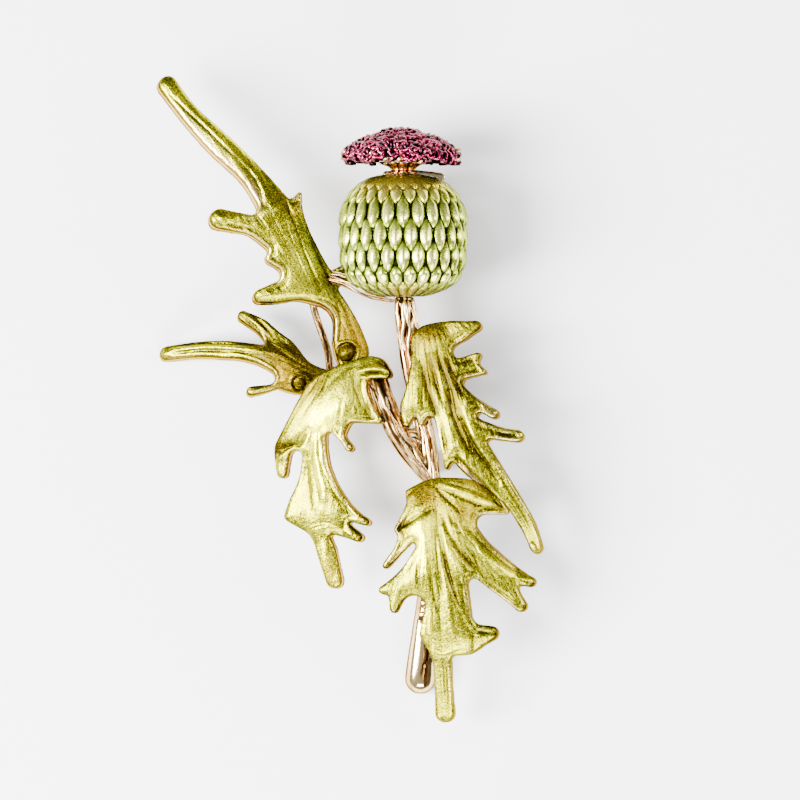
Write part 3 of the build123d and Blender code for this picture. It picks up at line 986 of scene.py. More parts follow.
@dataclass
class EnamelLeaf:
    """A cast leaf: chased front in enamel, gold walls and back.

    span gives the outline's reach in shares of the leaf's length from its root: left, right, low, high.
    lean is how far its back lies beyond its front, in millimetres. fan is where its fine lines come from, and
    lined_end how far from there they reach. Along a bare stroke the enamel leaves the gold open. At a rolled
    patch the edge is a raised gold bead with a sunk line beside it. Its lobes end thicker where they are
    swollen, by the patch's strength in millimetres. The warm patches lay ochre into the colour, the dark ones
    painted shade and the pale ones painted highlights.

    Places of the bead and its line, the pillow's reach and the rim are distances from the outline in
    millimetres. Depths that are named shares run from the front, 0, to the back, 1. Tones and shades are
    what is added to or taken from the relief value, and relief_tone is that for each millimetre.
    """

    node: str
    span: Span
    lean: Pair
    fan: Pair
    strokes: tuple[Stroke, ...]
    warm: tuple[Patch, ...] = ()
    dark: tuple[Patch, ...] = ()
    pale: tuple[Patch, ...] = ()
    bare: tuple[Stroke, ...] = ()
    bosses: tuple[Boss, ...] = ()
    rolled: tuple[Patch, ...] = ()
    swollen: tuple[Patch, ...] = ()
    lined_end: float = 3.0
    thickness: float = 1.5
    voxel: float = 0.15
    soften: int = 6
    puff: float = 0.42
    puff_reach: float = 1.0
    chased_from: float = 0.5
    ripples: tuple[Wave, Wave] = (Wave(0.022, 5.1), Wave(0.0132, 8.7, 1.3))
    sway: Wave = Wave(0.8, 0.35)
    line_pitch: float = 0.6
    lined_fade: float = 0.25
    lined_least: float = 0.1
    rim: float = 0.26
    bead_place: float = 0.18
    bead_width: float = 0.14
    bead_height: float = 0.11
    sunk_place: float = 0.62
    sunk_width: float = 0.16
    sunk_depth: float = 0.2
    front_turn: Pair = (0.25, 0.6)
    enamel_shares: Pair = (0.36, 0.22)
    back_shares: Pair = (0.36, 0.58)
    wall_line_share: float = 0.1
    wall_line_width: float = 0.09
    knob_edge: float = -0.15
    knob_turn: float = -0.2
    knob_share: float = 0.95
    flat_turn: float = 0.35
    steep_turn: float = 0.45
    relief_tone: float = 3.5
    bead_tone: float = 0.7
    bare_tone: float = 0.6
    wall_tone: float = 0.6
    rim_shade: float = 1.2
    dark_shade: float = 1.8
    wall_line_shade: float = 2.3
    back_shade: float = 1.6
    tone_limit: float = 1.5
    bare_loss: float = 1.6
    bead_loss: float = 0.7

    def make(self, material: Material) -> Thing:
        """Build and dress the leaf.

        Args:
            material: the leaf finish.

        Returns:
            The leaf.
        """
        skin = CastSkin(self.node, self.voxel, self.soften)
        root, self.length = node_root(self.node, self.span)
        normals = skin.normals()
        front = part_way(normals[:, 2], *self.front_turn)
        share, edge = self.depth_and_edge(skin.points, normals)
        places = (skin.points[:, :2] - root) / self.length
        along, across = self.flow(places)
        rolled = np.clip(self.covered(self.rolled, places), 0, 1)
        bead = rolled * bell(edge, self.bead_place, self.bead_width)
        relief = self.chased((*self.strokes, *self.bosses), places)
        relief = relief - self.sunk_depth * rolled * bell(edge, self.sunk_place, self.sunk_width)
        ripple = self.ripples[0].at(across, self.sway.at(along)) + self.ripples[1].at(across)
        pillow = self.puff * (1 - np.exp(-edge / self.puff_reach))
        chased = (relief + ripple) * part_way(edge, 0.0, self.chased_from)
        lift = front * (pillow + chased + self.bead_height * bead)
        points = skin.points + normals * lift[:, None]
        points[:, :2] += np.outer(share - 0.5, self.lean)
        points[:, :2] += normals[:, :2] * self.covered(self.swollen, places)[:, None]
        bare = self.chased(self.bare, places)
        # Painted shade and highlight: chased hollows darker, ridges, beads and bare gold lighter, a painted
        # dark line along the rim, the dark and pale patches, and on the walls painted shade that deepens
        # towards the back, with a painted dark line near the front.
        tone = self.relief_tone * relief + self.bead_tone * bead
        tone -= self.rim_shade * part_way(edge, self.rim, 0.0) * (1 - rolled)
        tone += self.covered(self.pale, places) - self.dark_shade * self.covered(self.dark, places)
        wall = self.wall_tone - self.back_shade * part_way(share, *self.back_shares)
        wall -= self.wall_line_shade * bell(share, self.wall_line_share, self.wall_line_width)
        tone = tone * front + wall * (1 - front) + self.bare_tone * np.clip(bare, 0, 1)
        enamel = front * part_way(share, *self.enamel_shares)
        enamel *= np.clip(1 - self.bare_loss * bare - self.bead_loss * bead, 0, 1)
        knobs = self.knobs(places) * (normals[:, 2] > self.knob_turn) * (share < self.knob_share)
        values = {
            "relief": np.clip(tone, -self.tone_limit, self.tone_limit),
            "enamel": np.maximum(enamel, knobs),
            "warmth": np.clip(self.covered(self.warm, places), 0, 1),
            "across": across,
            "along": along,
            "lined": np.clip((self.lined_end - along / self.length) / self.lined_fade, self.lined_least, 1),
            "polish": np.zeros(len(points)),
        }
        leaf = put_mesh(self.node + "_enamelled", points, skin.faces, values)
        dress(leaf, material, self.node)
        return leaf

    def flow(self, places: Array) -> tuple[Array, Array]:
        """Distances along and across the fine lines that fan out over the leaf.

        Args:
            places: vertices in shares of the leaf's length.

        Returns:
            The distances along and across, in millimetres.
        """
        away = places - np.array(self.fan)
        across = np.arctan2(away[:, 0], away[:, 1]) * self.length * self.line_pitch
        return np.hypot(away[:, 0], away[:, 1]) * self.length, across

    def chased(self, marks: tuple[Any, ...], places: Array) -> Array:
        """Height that strokes and bosses add at places in shares of the leaf's length."""
        return sum((mark.relief(places, self.length) for mark in marks), np.zeros(len(places)))

    def knobs(self, places: Array) -> Array:
        """Share by which places in shares of the leaf's length lie on a knob."""
        covers = (part_way(boss.beyond(places, self.length), 0.0, self.knob_edge) for boss in self.bosses)
        return sum(covers, np.zeros(len(places)))

    def depth_and_edge(self, points: Array, normals: Array) -> tuple[Array, Array]:
        """Depth of each vertex below the front, as a share of the thickness, and its distance to the wall.

        Args:
            points: the vertices.
            normals: their normals.

        Returns:
            The depth shares and the distances in millimetres.
        """
        front_tree = flat_tree(points, np.nonzero(normals[:, 2] > self.flat_turn)[0])
        wall_tree = flat_tree(points, np.nonzero(np.abs(normals[:, 2]) < self.steep_turn)[0])
        depths, edges = np.empty((2, len(points)))
        for index, (x, y, z) in enumerate(points.tolist()):
            nearest = front_tree.find((x, y, 0.0))[1]
            depths[index] = (points[nearest, 2] - z) / self.thickness
            edges[index] = wall_tree.find((x, y, 0.0))[2]
        return np.clip(depths, 0, 1), edges

    @staticmethod
    def covered(patches: tuple[Patch, ...], places: Array) -> Array:
        """Sum of patches at places in shares of the leaf's length."""
        return sum((patch.cover(places) for patch in patches), np.zeros(len(places)))


def flat_tree(points: Array, chosen: Array) -> KDTree:
    """Search tree of some vertices, seen from the front.

    Args:
        points: all vertices.
        chosen: numbers of the vertices that the tree holds.

    Returns:
        The tree, whose index is the vertex number.
    """
    tree = KDTree(len(chosen))
    for index in chosen.tolist():
        tree.insert((points[index, 0], points[index, 1], 0.0), index)
    tree.balance()
    return tree


def strokes(cut: Cut, width: float, depth: float, *lines: tuple[int, ...]) -> tuple[Stroke, ...]:
    """Strokes of one kind, width and depth.

    Args:
        cut: their kind.
        width: half width in millimetres.
        depth: depth or height in millimetres, half of it for a step.
        lines: start x, y, middle x, y, end x, y of each, in thousandths of the leaf's length.

    Returns:
        The strokes.
    """
    shares = [tuple(number / PER_LENGTH for number in line) for line in lines]
    return tuple(Stroke(cut, line[:2], line[2:4], line[4:], width, depth) for line in shares)


def patches(*rows: Span) -> tuple[Patch, ...]:
    """Patches from rows of x, y and reach in shares of the leaf's length, and strength."""
    return tuple(Patch(*row) for row in rows)


grooves = partial(strokes, Cut.GROOVE)
ridges = partial(strokes, Cut.RIDGE)
steps = partial(strokes, Cut.STEP)


def leaf_upper() -> EnamelLeaf:
    """Long upper left leaf with its finger, two lobes, bridge and knob.

    Returns:
        The leaf.
    """
    strokes = (
        *grooves(0.13, 0.22, (-575, 770, -450, 652, -325, 525), (-345, 545, -305, 505, -305, 440)),
        *grooves(0.22, 0.2, (-140, 200, -190, 320, -235, 450), (-110, 220, -160, 330, -215, 460)),
        *grooves(0.2, 0.14, (-95, 200, -140, 300, -195, 430), (-170, 210, -220, 320, -250, 440)),
        *grooves(0.2, 0.14, (-100, 200, -85, 130, -45, 30), (-85, 190, -60, 120, -15, 30)),
        *grooves(0.2, 0.18, (-105, 262, -90, 245, -55, 262), (-100, 238, -80, 235, -45, 245)),
        *ridges(0.55, 0.22, (-160, 190, -230, 190, -320, 185), (-280, 440, -360, 405, -440, 410)),
        *ridges(0.45, 0.12, (-570, 800, -430, 665, -290, 540)),
    )
    return EnamelLeaf(
        "leaf_upper", (-0.607, 0.0057, -0.046, 0.827), (-0.42, -0.45), (0.02, -0.1), strokes,
        warm=patches((-0.02, 0.09, 0.075, 0.42), (-0.21, 0.45, 0.05, 0.35)),
        dark=patches((-0.115, 0.225, 0.06, 0.26), (-0.03, 0.06, 0.09, 0.55)),
        pale=patches((-0.42, 0.62, 0.12, 0.85), (-0.55, 0.76, 0.06, 0.6), (-0.24, 0.4, 0.1, 0.25)),
        bare=ridges(0.72, 0.95, (-580, 735, -465, 605, -350, 495), (-360, 500, -335, 475, -325, 440)),
        bosses=(Boss(-0.063, 0.022, 0.95, 0.22),),
        rolled=patches(
            (-0.33, 0.36, 0.06, 1.0), (-0.29, 0.3, 0.05, 1.0), (-0.25, 0.25, 0.05, 1.0),
            (-0.11, 0.14, 0.04, 1.0), (-0.1, 0.08, 0.04, 1.0), (-0.204, 0.482, 0.03, 1.0),
        ),
    )


def leaf_side() -> EnamelLeaf:
    """Forked leaf at the left with the long straight finger.

    Returns:
        The leaf.
    """
    strokes = (
        *grooves(0.18, 0.24, (-990, 142, -750, 185, -420, 150), (-960, 105, -750, 148, -420, 100)),
        *grooves(0.2, 0.12, (-360, 165, -250, 100, -120, 20), (-400, 100, -280, 75, -150, 10)),
        *grooves(0.18, 0.12, (-300, 200, -220, 140, -130, 60), (-330, 40, -250, 20, -170, -20)),
        *grooves(0.2, 0.3, (-530, 350, -450, 280, -375, 190), (-480, 365, -400, 300, -325, 200)),
        *grooves(0.2, 0.25, (-470, -112, -400, -105, -320, -60)),
        *ridges(0.3, 0.15, (-970, 125, -750, 165, -400, 125)),
    )
    return EnamelLeaf(
        "leaf_side", (-1.044, 0.05, -0.158, 0.379), (-0.15, -0.42), (0.1, -0.08), strokes,
        warm=patches((-0.25, -0.06, 0.08, 0.3), (-0.2, 0.06, 0.12, 0.12)),
        dark=patches((-0.08, -0.03, 0.17, 0.62), (-0.16, -0.08, 0.1, 0.25), (-0.32, 0.06, 0.22, 0.42)),
        bare=ridges(0.22, 0.7, (-980, 75, -750, 85, -450, 45)),
        bosses=(Boss(-0.16, -0.08, 0.75, 0.16),),
        rolled=patches((-0.38, -0.015, 0.11, 1.0), (-0.38, 0.19, 0.05, 1.0)),
    )


def leaf_middle() -> EnamelLeaf:
    """Drooping leaf in the middle, with its curled lip at the top.

    Returns:
        The leaf.
    """
    strokes = (
        *grooves(0.45, 0.2, (-310, -270, -305, -450, -270, -600), (-335, -420, -325, -520, -310, -630)),
        *grooves(0.4, 0.16, (-200, 10, -330, -80, -440, -280), (-140, 20, -280, -80, -370, -250)),
        *grooves(0.35, 0.14, (-260, 0, -370, -80, -460, -270)),
        *grooves(0.45, 0.22, (-105, 20, -150, -110, -40, -210)),
        *grooves(0.25, 0.22, (-155, -672, -125, -700, -95, -750)),
        *ridges(0.85, 0.38, (-285, -260, -285, -420, -250, -560)),
        *ridges(0.35, 0.22, (-60, -30, -100, -100, -10, -215)),
        *ridges(1.3, 0.35, (-160, -120, -220, -200, -300, -240)),
        *steps(0.2, 0.28, (-325, -275, -345, -345, -400, -350), (-385, -348, -430, -355, -470, -398)),
        *steps(0.2, 0.15, (-225, -700, -275, -690, -325, -720)),
        *ridges(0.24, 0.34, (-90, 0, -30, 25, 40, -2), (-80, -28, -20, -18, 40, -28)),
        *grooves(0.17, 0.38, (-85, -13, -20, 4, 45, -14), (-20, 50, 10, 35, 35, 12)),
    )
    return EnamelLeaf(
        "leaf_middle", (-0.4862, 0.045, -0.988, 0.0714), (0.6, -0.15), (-0.1, 0.3), strokes,
        warm=patches((-0.22, -0.9, 0.1, 0.4), (-0.33, -0.03, 0.06, 0.3)),
        dark=patches((-0.36, -0.05, 0.07, 0.3), (-0.46, -0.35, 0.05, 0.3)),
        pale=patches(
            (-0.24, -0.26, 0.09, 0.55), (-0.28, -0.48, 0.07, 0.5), (-0.21, -0.86, 0.08, 0.9),
            (-0.16, -0.96, 0.06, 0.6),
        ),
        bare=ridges(0.2, 0.7, (-225, -300, -235, -470, -85, -630)),
        lined_end=0.95,
        swollen=patches((-0.07, -0.69, 0.04, 0.12), (-0.1, -0.765, 0.04, 0.14), (-0.135, -0.35, 0.04, 0.16)),
        rolled=patches(
            (-0.25, -0.36, 0.07, 1.0), (-0.22, -0.5, 0.07, 1.0), (-0.14, -0.62, 0.06, 1.0),
            (-0.07, -0.08, 0.06, 1.0), (-0.03, -0.18, 0.06, 1.0), (-0.16, -0.31, 0.06, 1.0),
            (-0.41, -0.43, 0.05, 1.0),
        ),
    )


def leaf_right() -> EnamelLeaf:
    """Long leaf at the right, with diagonal grooves.

    Returns:
        The leaf.
    """
    strokes = (
        *grooves(0.3, 0.22, (50, -100, 70, -200, 110, -290), (80, -50, 110, -170, 155, -290)),
        *grooves(0.3, 0.24, (110, -40, 155, -140, 185, -270), (150, -60, 185, -130, 215, -200)),
        *grooves(0.34, 0.3, (160, -200, 170, -330, 250, -450), (215, -320, 265, -440, 370, -570)),
        *grooves(0.3, 0.3, (185, -465, 330, -600, 500, -820)),
        *grooves(0.18, 0.12, (280, -345, 350, -375, 430, -378)),
        *ridges(0.5, 0.26, (120, -120, 140, -280, 190, -420), (230, -240, 235, -340, 320, -470)),
        *ridges(0.45, 0.22, (20, -120, 25, -220, 30, -300), (105, -330, 115, -420, 140, -500)),
        *ridges(0.4, 0.2, (220, -480, 360, -620, 510, -840)),
    )
    return EnamelLeaf(
        "leaf_right", (-0.046, 0.549, -0.873, 0.0966), (0.4, -0.25), (0.02, 0.3), strokes,
        warm=patches((0.1, 0.08, 0.1, 0.2)),
        dark=patches(
            (0.09, 0.07, 0.08, 0.35), (0.18, -0.4, 0.08, 0.12), (0.0, 0.0, 0.06, 0.2),
            (0.12, -0.15, 0.15, 0.4), (0.28, -0.5, 0.14, 0.14), (0.21, -0.3, 0.08, 0.3),
        ),
        lined_end=1.0,
        swollen=patches(
            (0.29, 0.07, 0.035, 0.28), (0.36, -0.29, 0.045, 0.28), (0.3, -0.25, 0.04, 0.12),
            (0.47, -0.385, 0.035, 0.12),
        ),
        pale=patches((0.24, -0.36, 0.04, 0.35)),
        bare=ridges(0.24, 0.7, (205, -500, 330, -620, 510, -860)),
        rolled=patches(
            (0.22, -0.01, 0.06, 1.0), (0.27, -0.14, 0.06, 1.0), (0.31, -0.28, 0.06, 1.0),
            (0.4, -0.4, 0.07, 1.0), (0.41, -0.55, 0.06, 0.8), (0.49, -0.68, 0.07, 0.8),
            (0.56, -0.8, 0.06, 0.8), (0.14, -0.4, 0.07, 0.9), (0.04, -0.32, 0.05, 0.8),
        ),
    )


def leaf_lower() -> EnamelLeaf:
    """Broad leaf at the foot, pleated from its top.

    Returns:
        The leaf.
    """
    strokes = (
        *grooves(0.24, 0.26, (0, -120, 20, -300, 90, -520), (25, -140, 60, -270, 170, -390)),
        *grooves(0.22, 0.22, (60, -150, 120, -260, 260, -400), (-6, -220, 4, -340, 34, -480)),
        *grooves(0.22, 0.2, (34, -320, 64, -440, 115, -560), (-65, -340, -80, -420, -60, -480)),
        *grooves(0.22, 0.18, (120, -190, 220, -310, 360, -400), (-25, -360, -15, -460, 10, -550)),
        *grooves(0.18, 0.2, (90, -220, 150, -320, 220, -440), (50, -250, 100, -360, 150, -470)),
        *grooves(0.2, 0.3, (60, -20, 160, -45, 285, -120), (20, -30, 100, -85, 245, -125)),
        *grooves(0.2, 0.24, (0, -25, 30, -70, 100, -130), (-90, -35, -110, -55, -130, -85)),
        *grooves(0.26, 0.25, (-20, -120, -80, -160, -155, -205), (-80, -255, -140, -305, -210, -360)),
        *grooves(0.2, 0.25, (165, -628, 200, -635, 240, -635)),
        *ridges(0.8, 0.42, (-65, -120, -50, -250, -40, -380)),
        *ridges(0.6, 0.3, (30, -30, 120, -45, 270, -125), (90, -200, 180, -320, 340, -420)),
        *ridges(0.5, 0.22, (30, -200, 60, -340, 150, -450)),
        *steps(0.18, 0.14, (-15, -715, 30, -740, 75, -715)),
    )
    return EnamelLeaf(
        "leaf_lower", (-0.237, 0.406, -1.015, 0.0097), (0.34, -0.08), (-0.02, 0.1), strokes,
        warm=patches((-0.035, -0.07, 0.06, 0.8), (0.12, -0.14, 0.06, 0.6), (-0.1, -0.06, 0.05, 0.15)),
        dark=patches((-0.15, -0.2, 0.035, 0.45), (0.14, -0.32, 0.1, 0.12), (-0.13, -0.08, 0.03, 0.35)),
        pale=patches(
            (-0.05, -0.22, 0.05, 0.6), (-0.05, -0.34, 0.05, 0.4), (0.12, -0.06, 0.05, 0.6),
            (0.03, -0.68, 0.12, 0.42), (0.04, -0.9, 0.12, 0.3),
        ),
        bare=ridges(0.2, 0.7, (170, -200, 250, -310, 385, -395)),
        lined_end=0.72,
        swollen=patches(
            (0.41, -0.437, 0.035, 0.28), (0.363, -0.535, 0.035, 0.25), (0.235, -0.64, 0.045, 0.3),
            (-0.225, -0.465, 0.035, 0.15), (-0.17, -0.545, 0.035, 0.15), (-0.2, -0.34, 0.06, 0.16),
        ),
        rolled=patches(
            (0.24, -0.12, 0.09, 1.0), (0.12, -0.5, 0.1, 0.9), (0.075, -0.85, 0.09, 0.8),
            (0.3, -0.5, 0.06, 0.7), (-0.15, -0.31, 0.06, 1.0), (-0.13, -0.18, 0.05, 0.9),
        ),
    )


@dataclass(frozen=True)
class Shoot:
    """A shoot of the stem, with its strands.

    Its route is given in shares of the stem's length, with heights in millimetres. Its radius is in
    millimetres too, or measured on the cast stem where it is 0. Strands lie on it from the first share of its
    run to the last, at angles in degrees from straight up, darker by the shade.
    """

    route: tuple[Triple, ...]
    angles: tuple[float, ...]
    first: float = 0.0
    last: float = 1.0
    radius: float = 0.0
    shade: float = 0.0


@dataclass
class GoldStem:
    """Main stem, side branch and twigs, stranded like bark above and polished at the club-shaped foot.

    span gives the node's reach in shares of the stem's length from its top: left, right, low, high. Levels
    are shares of that length too. The club is a list of levels and radii, from its foot up. Strands are as
    thick as strand_share says, in radii of their shoot, and their rings lie strand_pitch apart. Their middle
    line is evened out over bend_reach. Each strand is shifted by strand_steps against the one before it.
    Relief values go from painted shade at the side of a form to a painted highlight at its front, and the
    creases take theirs off as painted shade.
    A crease is given by its strength, place and width, in radii of the club.
    """

    node: str = "stem"
    span: Span = (-0.2387, 0.0928, -0.9974, -0.002)
    voxel: float = 0.15
    soften: int = 3
    flute_depth: float = 0.06
    flutes: int = 9
    slow_flutes: int = 4
    slow_flute: float = 0.5
    slow_phase: float = 2.0
    wander: tuple[Wave, Wave] = (Wave(0.5, 0.55), Wave(0.3, 1.7, 1.0))
    tone_ends: Pair = (-1.4, 0.8)
    bark_end: float = -0.5
    satin: float = 0.2
    polish_levels: Pair = (-0.62, -0.72)
    trunk_shade: float = 0.7
    twig_shade: float = 0.58
    strand_share: float = 0.2
    strand_lift: float = 0.84
    strand_sides: int = 8
    strand_pitch: float = 0.55
    strand_radii: Pair = (0.3, 1.25)
    strand_wander: tuple[Wave, Wave] = (Wave(0.22, 0.7), Wave(0.12, 1.9))
    strand_bulge: Wave = Wave(0.16, 1.3)
    strand_steps: Triple = (2.1, 1.0, 1.7)
    strand_end: float = 0.35
    strand_ease: float = 2.5
    strand_tone: Pair = (-0.9, 1.0)
    strand_flow: Pair = (0.35, 7.0)
    bend_reach: float = 0.8
    bend_samples: int = 5
    shoot_radius: float = 0.6
    shoot_sample: float = 0.7
    club_sides: int = 72
    club_gap: float = 0.12
    club_bands: int = 60
    club_ease: float = 0.04
    club_tip: float = 0.85
    cap_turns: Pair = (0.06, 0.5)
    cap_rings: int = 12
    side_rings: int = 70
    collar: tuple[float, ...] = (0.97, 0.9, 0.8)
    crease_top: float = -0.845
    crease_end: float = -0.958
    crease_depth: float = 0.1
    crease_fade: float = 0.15
    crease_start: float = 0.5
    crease_drift: float = -0.6
    crease_sway: Wave = Wave(0.05, 14.0)
    creases: tuple[Triple, ...] = ((1.0, 0.0, 0.08), (0.6, 0.26, 0.06))
    crease_shade: float = 2.4
    club_tone: Pair = (-0.7, 1.2)
    club_flow: Pair = (0.9, 0.3)
    club_evening: int = 5
    floor_gap: float = 0.02
    club: tuple[Pair, ...] = (
        (-0.97, 1.82), (-0.955, 1.82), (-0.93, 1.76), (-0.89, 1.6), (-0.84, 1.36), (-0.78, 1.12),
        (-0.7, 0.98),
    )
    shoots: tuple[Shoot, ...] = (
        Shoot(
            ((0.0, 0.0, 10.0), (0.009, -0.12, 9.3), (0.031, -0.24, 8.7), (0.06, -0.36, 8.2),
             (0.073, -0.47, 8.0), (0.07, -0.58, 6.7), (0.06, -0.7, 5.1), (0.05, -0.82, 3.3),
             (0.041, -0.962, 1.7)),
            (-105, -80, -55, -30, -5, 20, 45, 70, 95), last=0.52,
        ),
        Shoot(
            ((0.073, -0.465, 8.0), (0.022, -0.398, 8.1), (-0.016, -0.345, 8.3), (-0.05, -0.26, 8.4),
             (-0.095, -0.165, 6.7)),
            (-105, -80, -54, -28, -3, 22, 48, 74, 100), first=0.03, last=0.98,
        ),
        Shoot(((-0.05, -0.268, 7.8), (-0.11, -0.225, 6.5), (-0.19, -0.19, 4.6)), (-70, -20, 30, 80)),
        Shoot(
            ((-0.185, -0.195, 4.8), (-0.192, -0.135, 5.7), (-0.212, -0.075, 7.0), (-0.23, -0.012, 8.0)),
            (-75, -25, 30, 80),
        ),
        Shoot(((-0.01, -0.35, 8.1), (0.018, -0.335, 7.8), (0.045, -0.35, 8.0)), (-70, -20, 30, 80)),
        Shoot(((0.0, -0.35, 7.9), (0.036, -0.395, 7.8), (0.069, -0.455, 7.9)), (-60, 0, 60), radius=0.62),
        Shoot(((0.03, -0.345, 7.7), (0.052, -0.39, 7.6), (0.07, -0.44, 7.9)), (-60, 0, 60), radius=0.5),
        Shoot(((0.008, 0.002, 10.2), (0.019, -0.035, 10.1), (0.033, -0.088, 9.9)), (-60, 0, 60), radius=0.46),
        Shoot(
            ((-0.192, 0.0486, 9.6), (-0.154, 0.042, 10.5), (-0.115, 0.0215, 11.5), (-0.072, 0.004, 11.6),
             (-0.018, -0.004, 10.8)),
            (-110, -80, -50, -20, 10, 40, 70, 100), radius=0.62, shade=1.0,
        ),
        Shoot(
            ((-0.19, 0.0594, 9.6), (-0.162, 0.055, 10.3), (-0.138, 0.042, 10.9)),
            (-60, 0, 60), radius=0.45, shade=0.6,
        ),
    )

    def make(self, material: Material) -> Thing:
        """Build and dress the stem.

        Args:
            material: the gold finish.

        Returns:
            The stem.
        """
        skin = CastSkin(self.node, self.voxel, self.soften)
        self.root, self.length = node_root(self.node, self.span)
        skin.points = self.clubbed(skin.points)
        owner, around, along, distance = self.measured(skin.points)
        trunk = owner == 0
        level = self.level(skin.points[:, 1])
        satin = np.where(trunk & (level < self.bark_end), self.satin, 0.0)
        polish = np.maximum(part_way(level, *self.polish_levels), satin)
        wander = sum(wave.at(along) for wave in self.wander)
        slow = self.slow_flute * np.cos(self.slow_flutes * around - wander + self.slow_phase)
        flutes = np.cos(self.flutes * around + wander) + slow
        relief = flutes * (1 - polish)
        # Painted shade in the flute grooves and a painted highlight on their ridges, darker on the upper
        # trunk and the twigs.
        tone = relief - np.where(trunk, self.trunk_shade * (level > self.bark_end), self.twig_shade)
        points = skin.points + skin.normals() * (self.flute_depth * relief)[:, None]
        batch = MeshBatch()
        values = {"polish": polish, "across": around, "along": along}
        batch.add(points, skin.faces, relief=np.clip(tone, *self.tone_ends), **values)
        self.add_club(batch)
        for number, shoot in enumerate(self.shoots):
            runs, joints = self.joints(shoot)
            radii = self.shoot_radii(shoot, runs, along[owner == number], distance[owner == number])
            for index in range(len(shoot.angles)):
                self.add_strand(batch, shoot, index, (runs, joints), radii)
        stem = batch.build("stem_strands")
        dress(stem, material, self.node)
        return stem

    def level(self, y: Array) -> Array:
        """Shares of the stem's length at heights up the picture in millimetres."""
        return (y - self.root[1]) / self.length

    def joints(self, shoot: Shoot) -> tuple[Array, Array]:
        """Runs and places of the joints of a shoot's route.

        Args:
            shoot: the shoot.

        Returns:
            The runs from its first joint, and the joints, in millimetres.
        """
        joints = np.array(shoot.route)
        joints[:, :2] = self.root + joints[:, :2] * self.length
        reaches = np.linalg.norm(np.diff(joints, axis=0), axis=1)
        return np.concatenate(((0,), np.cumsum(reaches))), joints

    def axis_at(self, y: Array) -> Array:
        """Points of the main shoot's axis at given heights up the picture."""
        x, heights, z = self.joints(self.shoots[0])[1][::-1].T
        return np.stack((np.interp(y, heights, x), y, np.interp(y, heights, z)), axis=1)

    def clubbed(self, points: Array) -> Array:
        """Points with the polished foot swelled evenly, to lie just under the club's own skin.

        Args:
            points: the vertices.

        Returns:
            The vertices, moved towards or away from the foot's axis.
        """
        levels, reaches = np.array(self.club).T
        level = self.level(points[:, 1])
        axis = self.axis_at(points[:, 1])
        spoke = (points - axis) * (1, 0, 1)
        distance = np.linalg.norm(spoke, axis=1)
        inside = (level < levels[-1]) & (level > levels[0])
        bands = np.digitize(level, np.linspace(levels[0], levels[-1], self.club_bands))
        now = np.ones(len(points))
        for band in np.unique(bands[inside]):
            chosen = inside & (bands == band)
            now[chosen] = np.median(distance[chosen])
        wanted = np.interp(level, levels, reaches) - self.club_gap
        ease = part_way(level, levels[-1], levels[-1] - self.club_ease)
        ratio = np.where(inside, 1 + ease * (wanted / now - 1), self.club_tip)
        return np.where((level < levels[-1])[:, None], axis + spoke * ratio[:, None], points)

    def add_club(self, batch: MeshBatch) -> None:
        """Add the smooth polished skin of the foot, with its crease.

        Args:
            batch: the stem's mesh.
        """
        levels, reaches = np.array(self.club).T
        turn = np.linspace(*self.cap_turns, self.cap_rings) * math.pi
        cap = self.root[1] + self.span[2] * self.length + reaches[0] * (1 - np.cos(turn))
        side = np.linspace(cap[-1], self.root[1] + levels[-1] * self.length, self.side_rings)[1:]
        heights = np.concatenate((cap, side))
        reach = smoothed(np.interp(self.level(heights), levels, reaches), self.club_evening)
        reach[:len(cap)] = reach[len(cap)] * np.sin(turn)
        reach[-len(self.collar):] *= self.collar
        around = round_turn(self.club_sides)
        ring = np.stack((np.sin(around), 0 * around, np.cos(around)), axis=1)
        crease = self.crease(self.level(heights), around)
        reach = reach[:, None] - self.crease_depth * crease
        points = self.axis_at(heights)[:, None] + reach[..., None] * ring
        points[..., 2] = np.maximum(points[..., 2], self.floor_gap)
        faces = loft_faces(len(heights), self.club_sides, inside_out=True)
        # Painted highlight on the club's front, painted shade at its sides and in the creases.
        relief = between(np.cos(around), self.club_tone) - self.crease_shade * crease
        flow = {"across": np.sin(around) * self.club_flow[0], "along": heights[:, None] * self.club_flow[1]}
        batch.add(points, faces, relief=relief, polish=1.0, **flow)

    def crease(self, level: Array, around: Array) -> Array:
        """Depth of the curved creases on the club's front.

        Args:
            level: levels of the rings.
            around: angles of the vertices in a ring, from the front.

        Returns:
            Shares of the crease's depth, a row for each ring.
        """
        drop = ((self.crease_top - level) / (self.crease_top - self.crease_end))[:, None]
        window = part_way(np.minimum(drop, 1 - drop), 0.0, self.crease_fade) * (np.cos(around) > 0)
        gap = np.sin(around) - self.crease_start - self.crease_drift * drop**2 - self.crease_sway.at(drop)
        return window * sum(strength * bell(gap, place, width) for strength, place, width in self.creases)

    def measured(self, points: Array) -> tuple[Array, Array, Array, Array]:
        """Which shoot each vertex belongs to, its angle about it, its run along it and its distance from it.

        Args:
            points: the vertices.

        Returns:
            Shoot numbers, angles in radians, and runs and distances in millimetres.
        """
        nearest = np.full(len(points), np.inf)
        owner, around, along = np.zeros((3, len(points)))
        for number, shoot in enumerate(self.shoots):
            if shoot.radius:
                continue
            runs, joints = self.joints(shoot)
            for run, start, end in zip(runs, joints[:-1], joints[1:]):
                reach = np.linalg.norm(end - start)
                heading = (end - start) / reach
                share = np.clip((points - start) @ heading, 0, reach)
                spoke = points - start - share[:, None] * heading
                distance = np.linalg.norm(spoke, axis=1)
                up, side = cross_axes(heading)
                closer = distance < nearest
                owner = np.where(closer, number, owner)
                around = np.where(closer, np.arctan2(spoke @ side, spoke @ up), around)
                along = np.where(closer, run + share, along)
                nearest = np.where(closer, distance, nearest)
        return owner, around, along, nearest

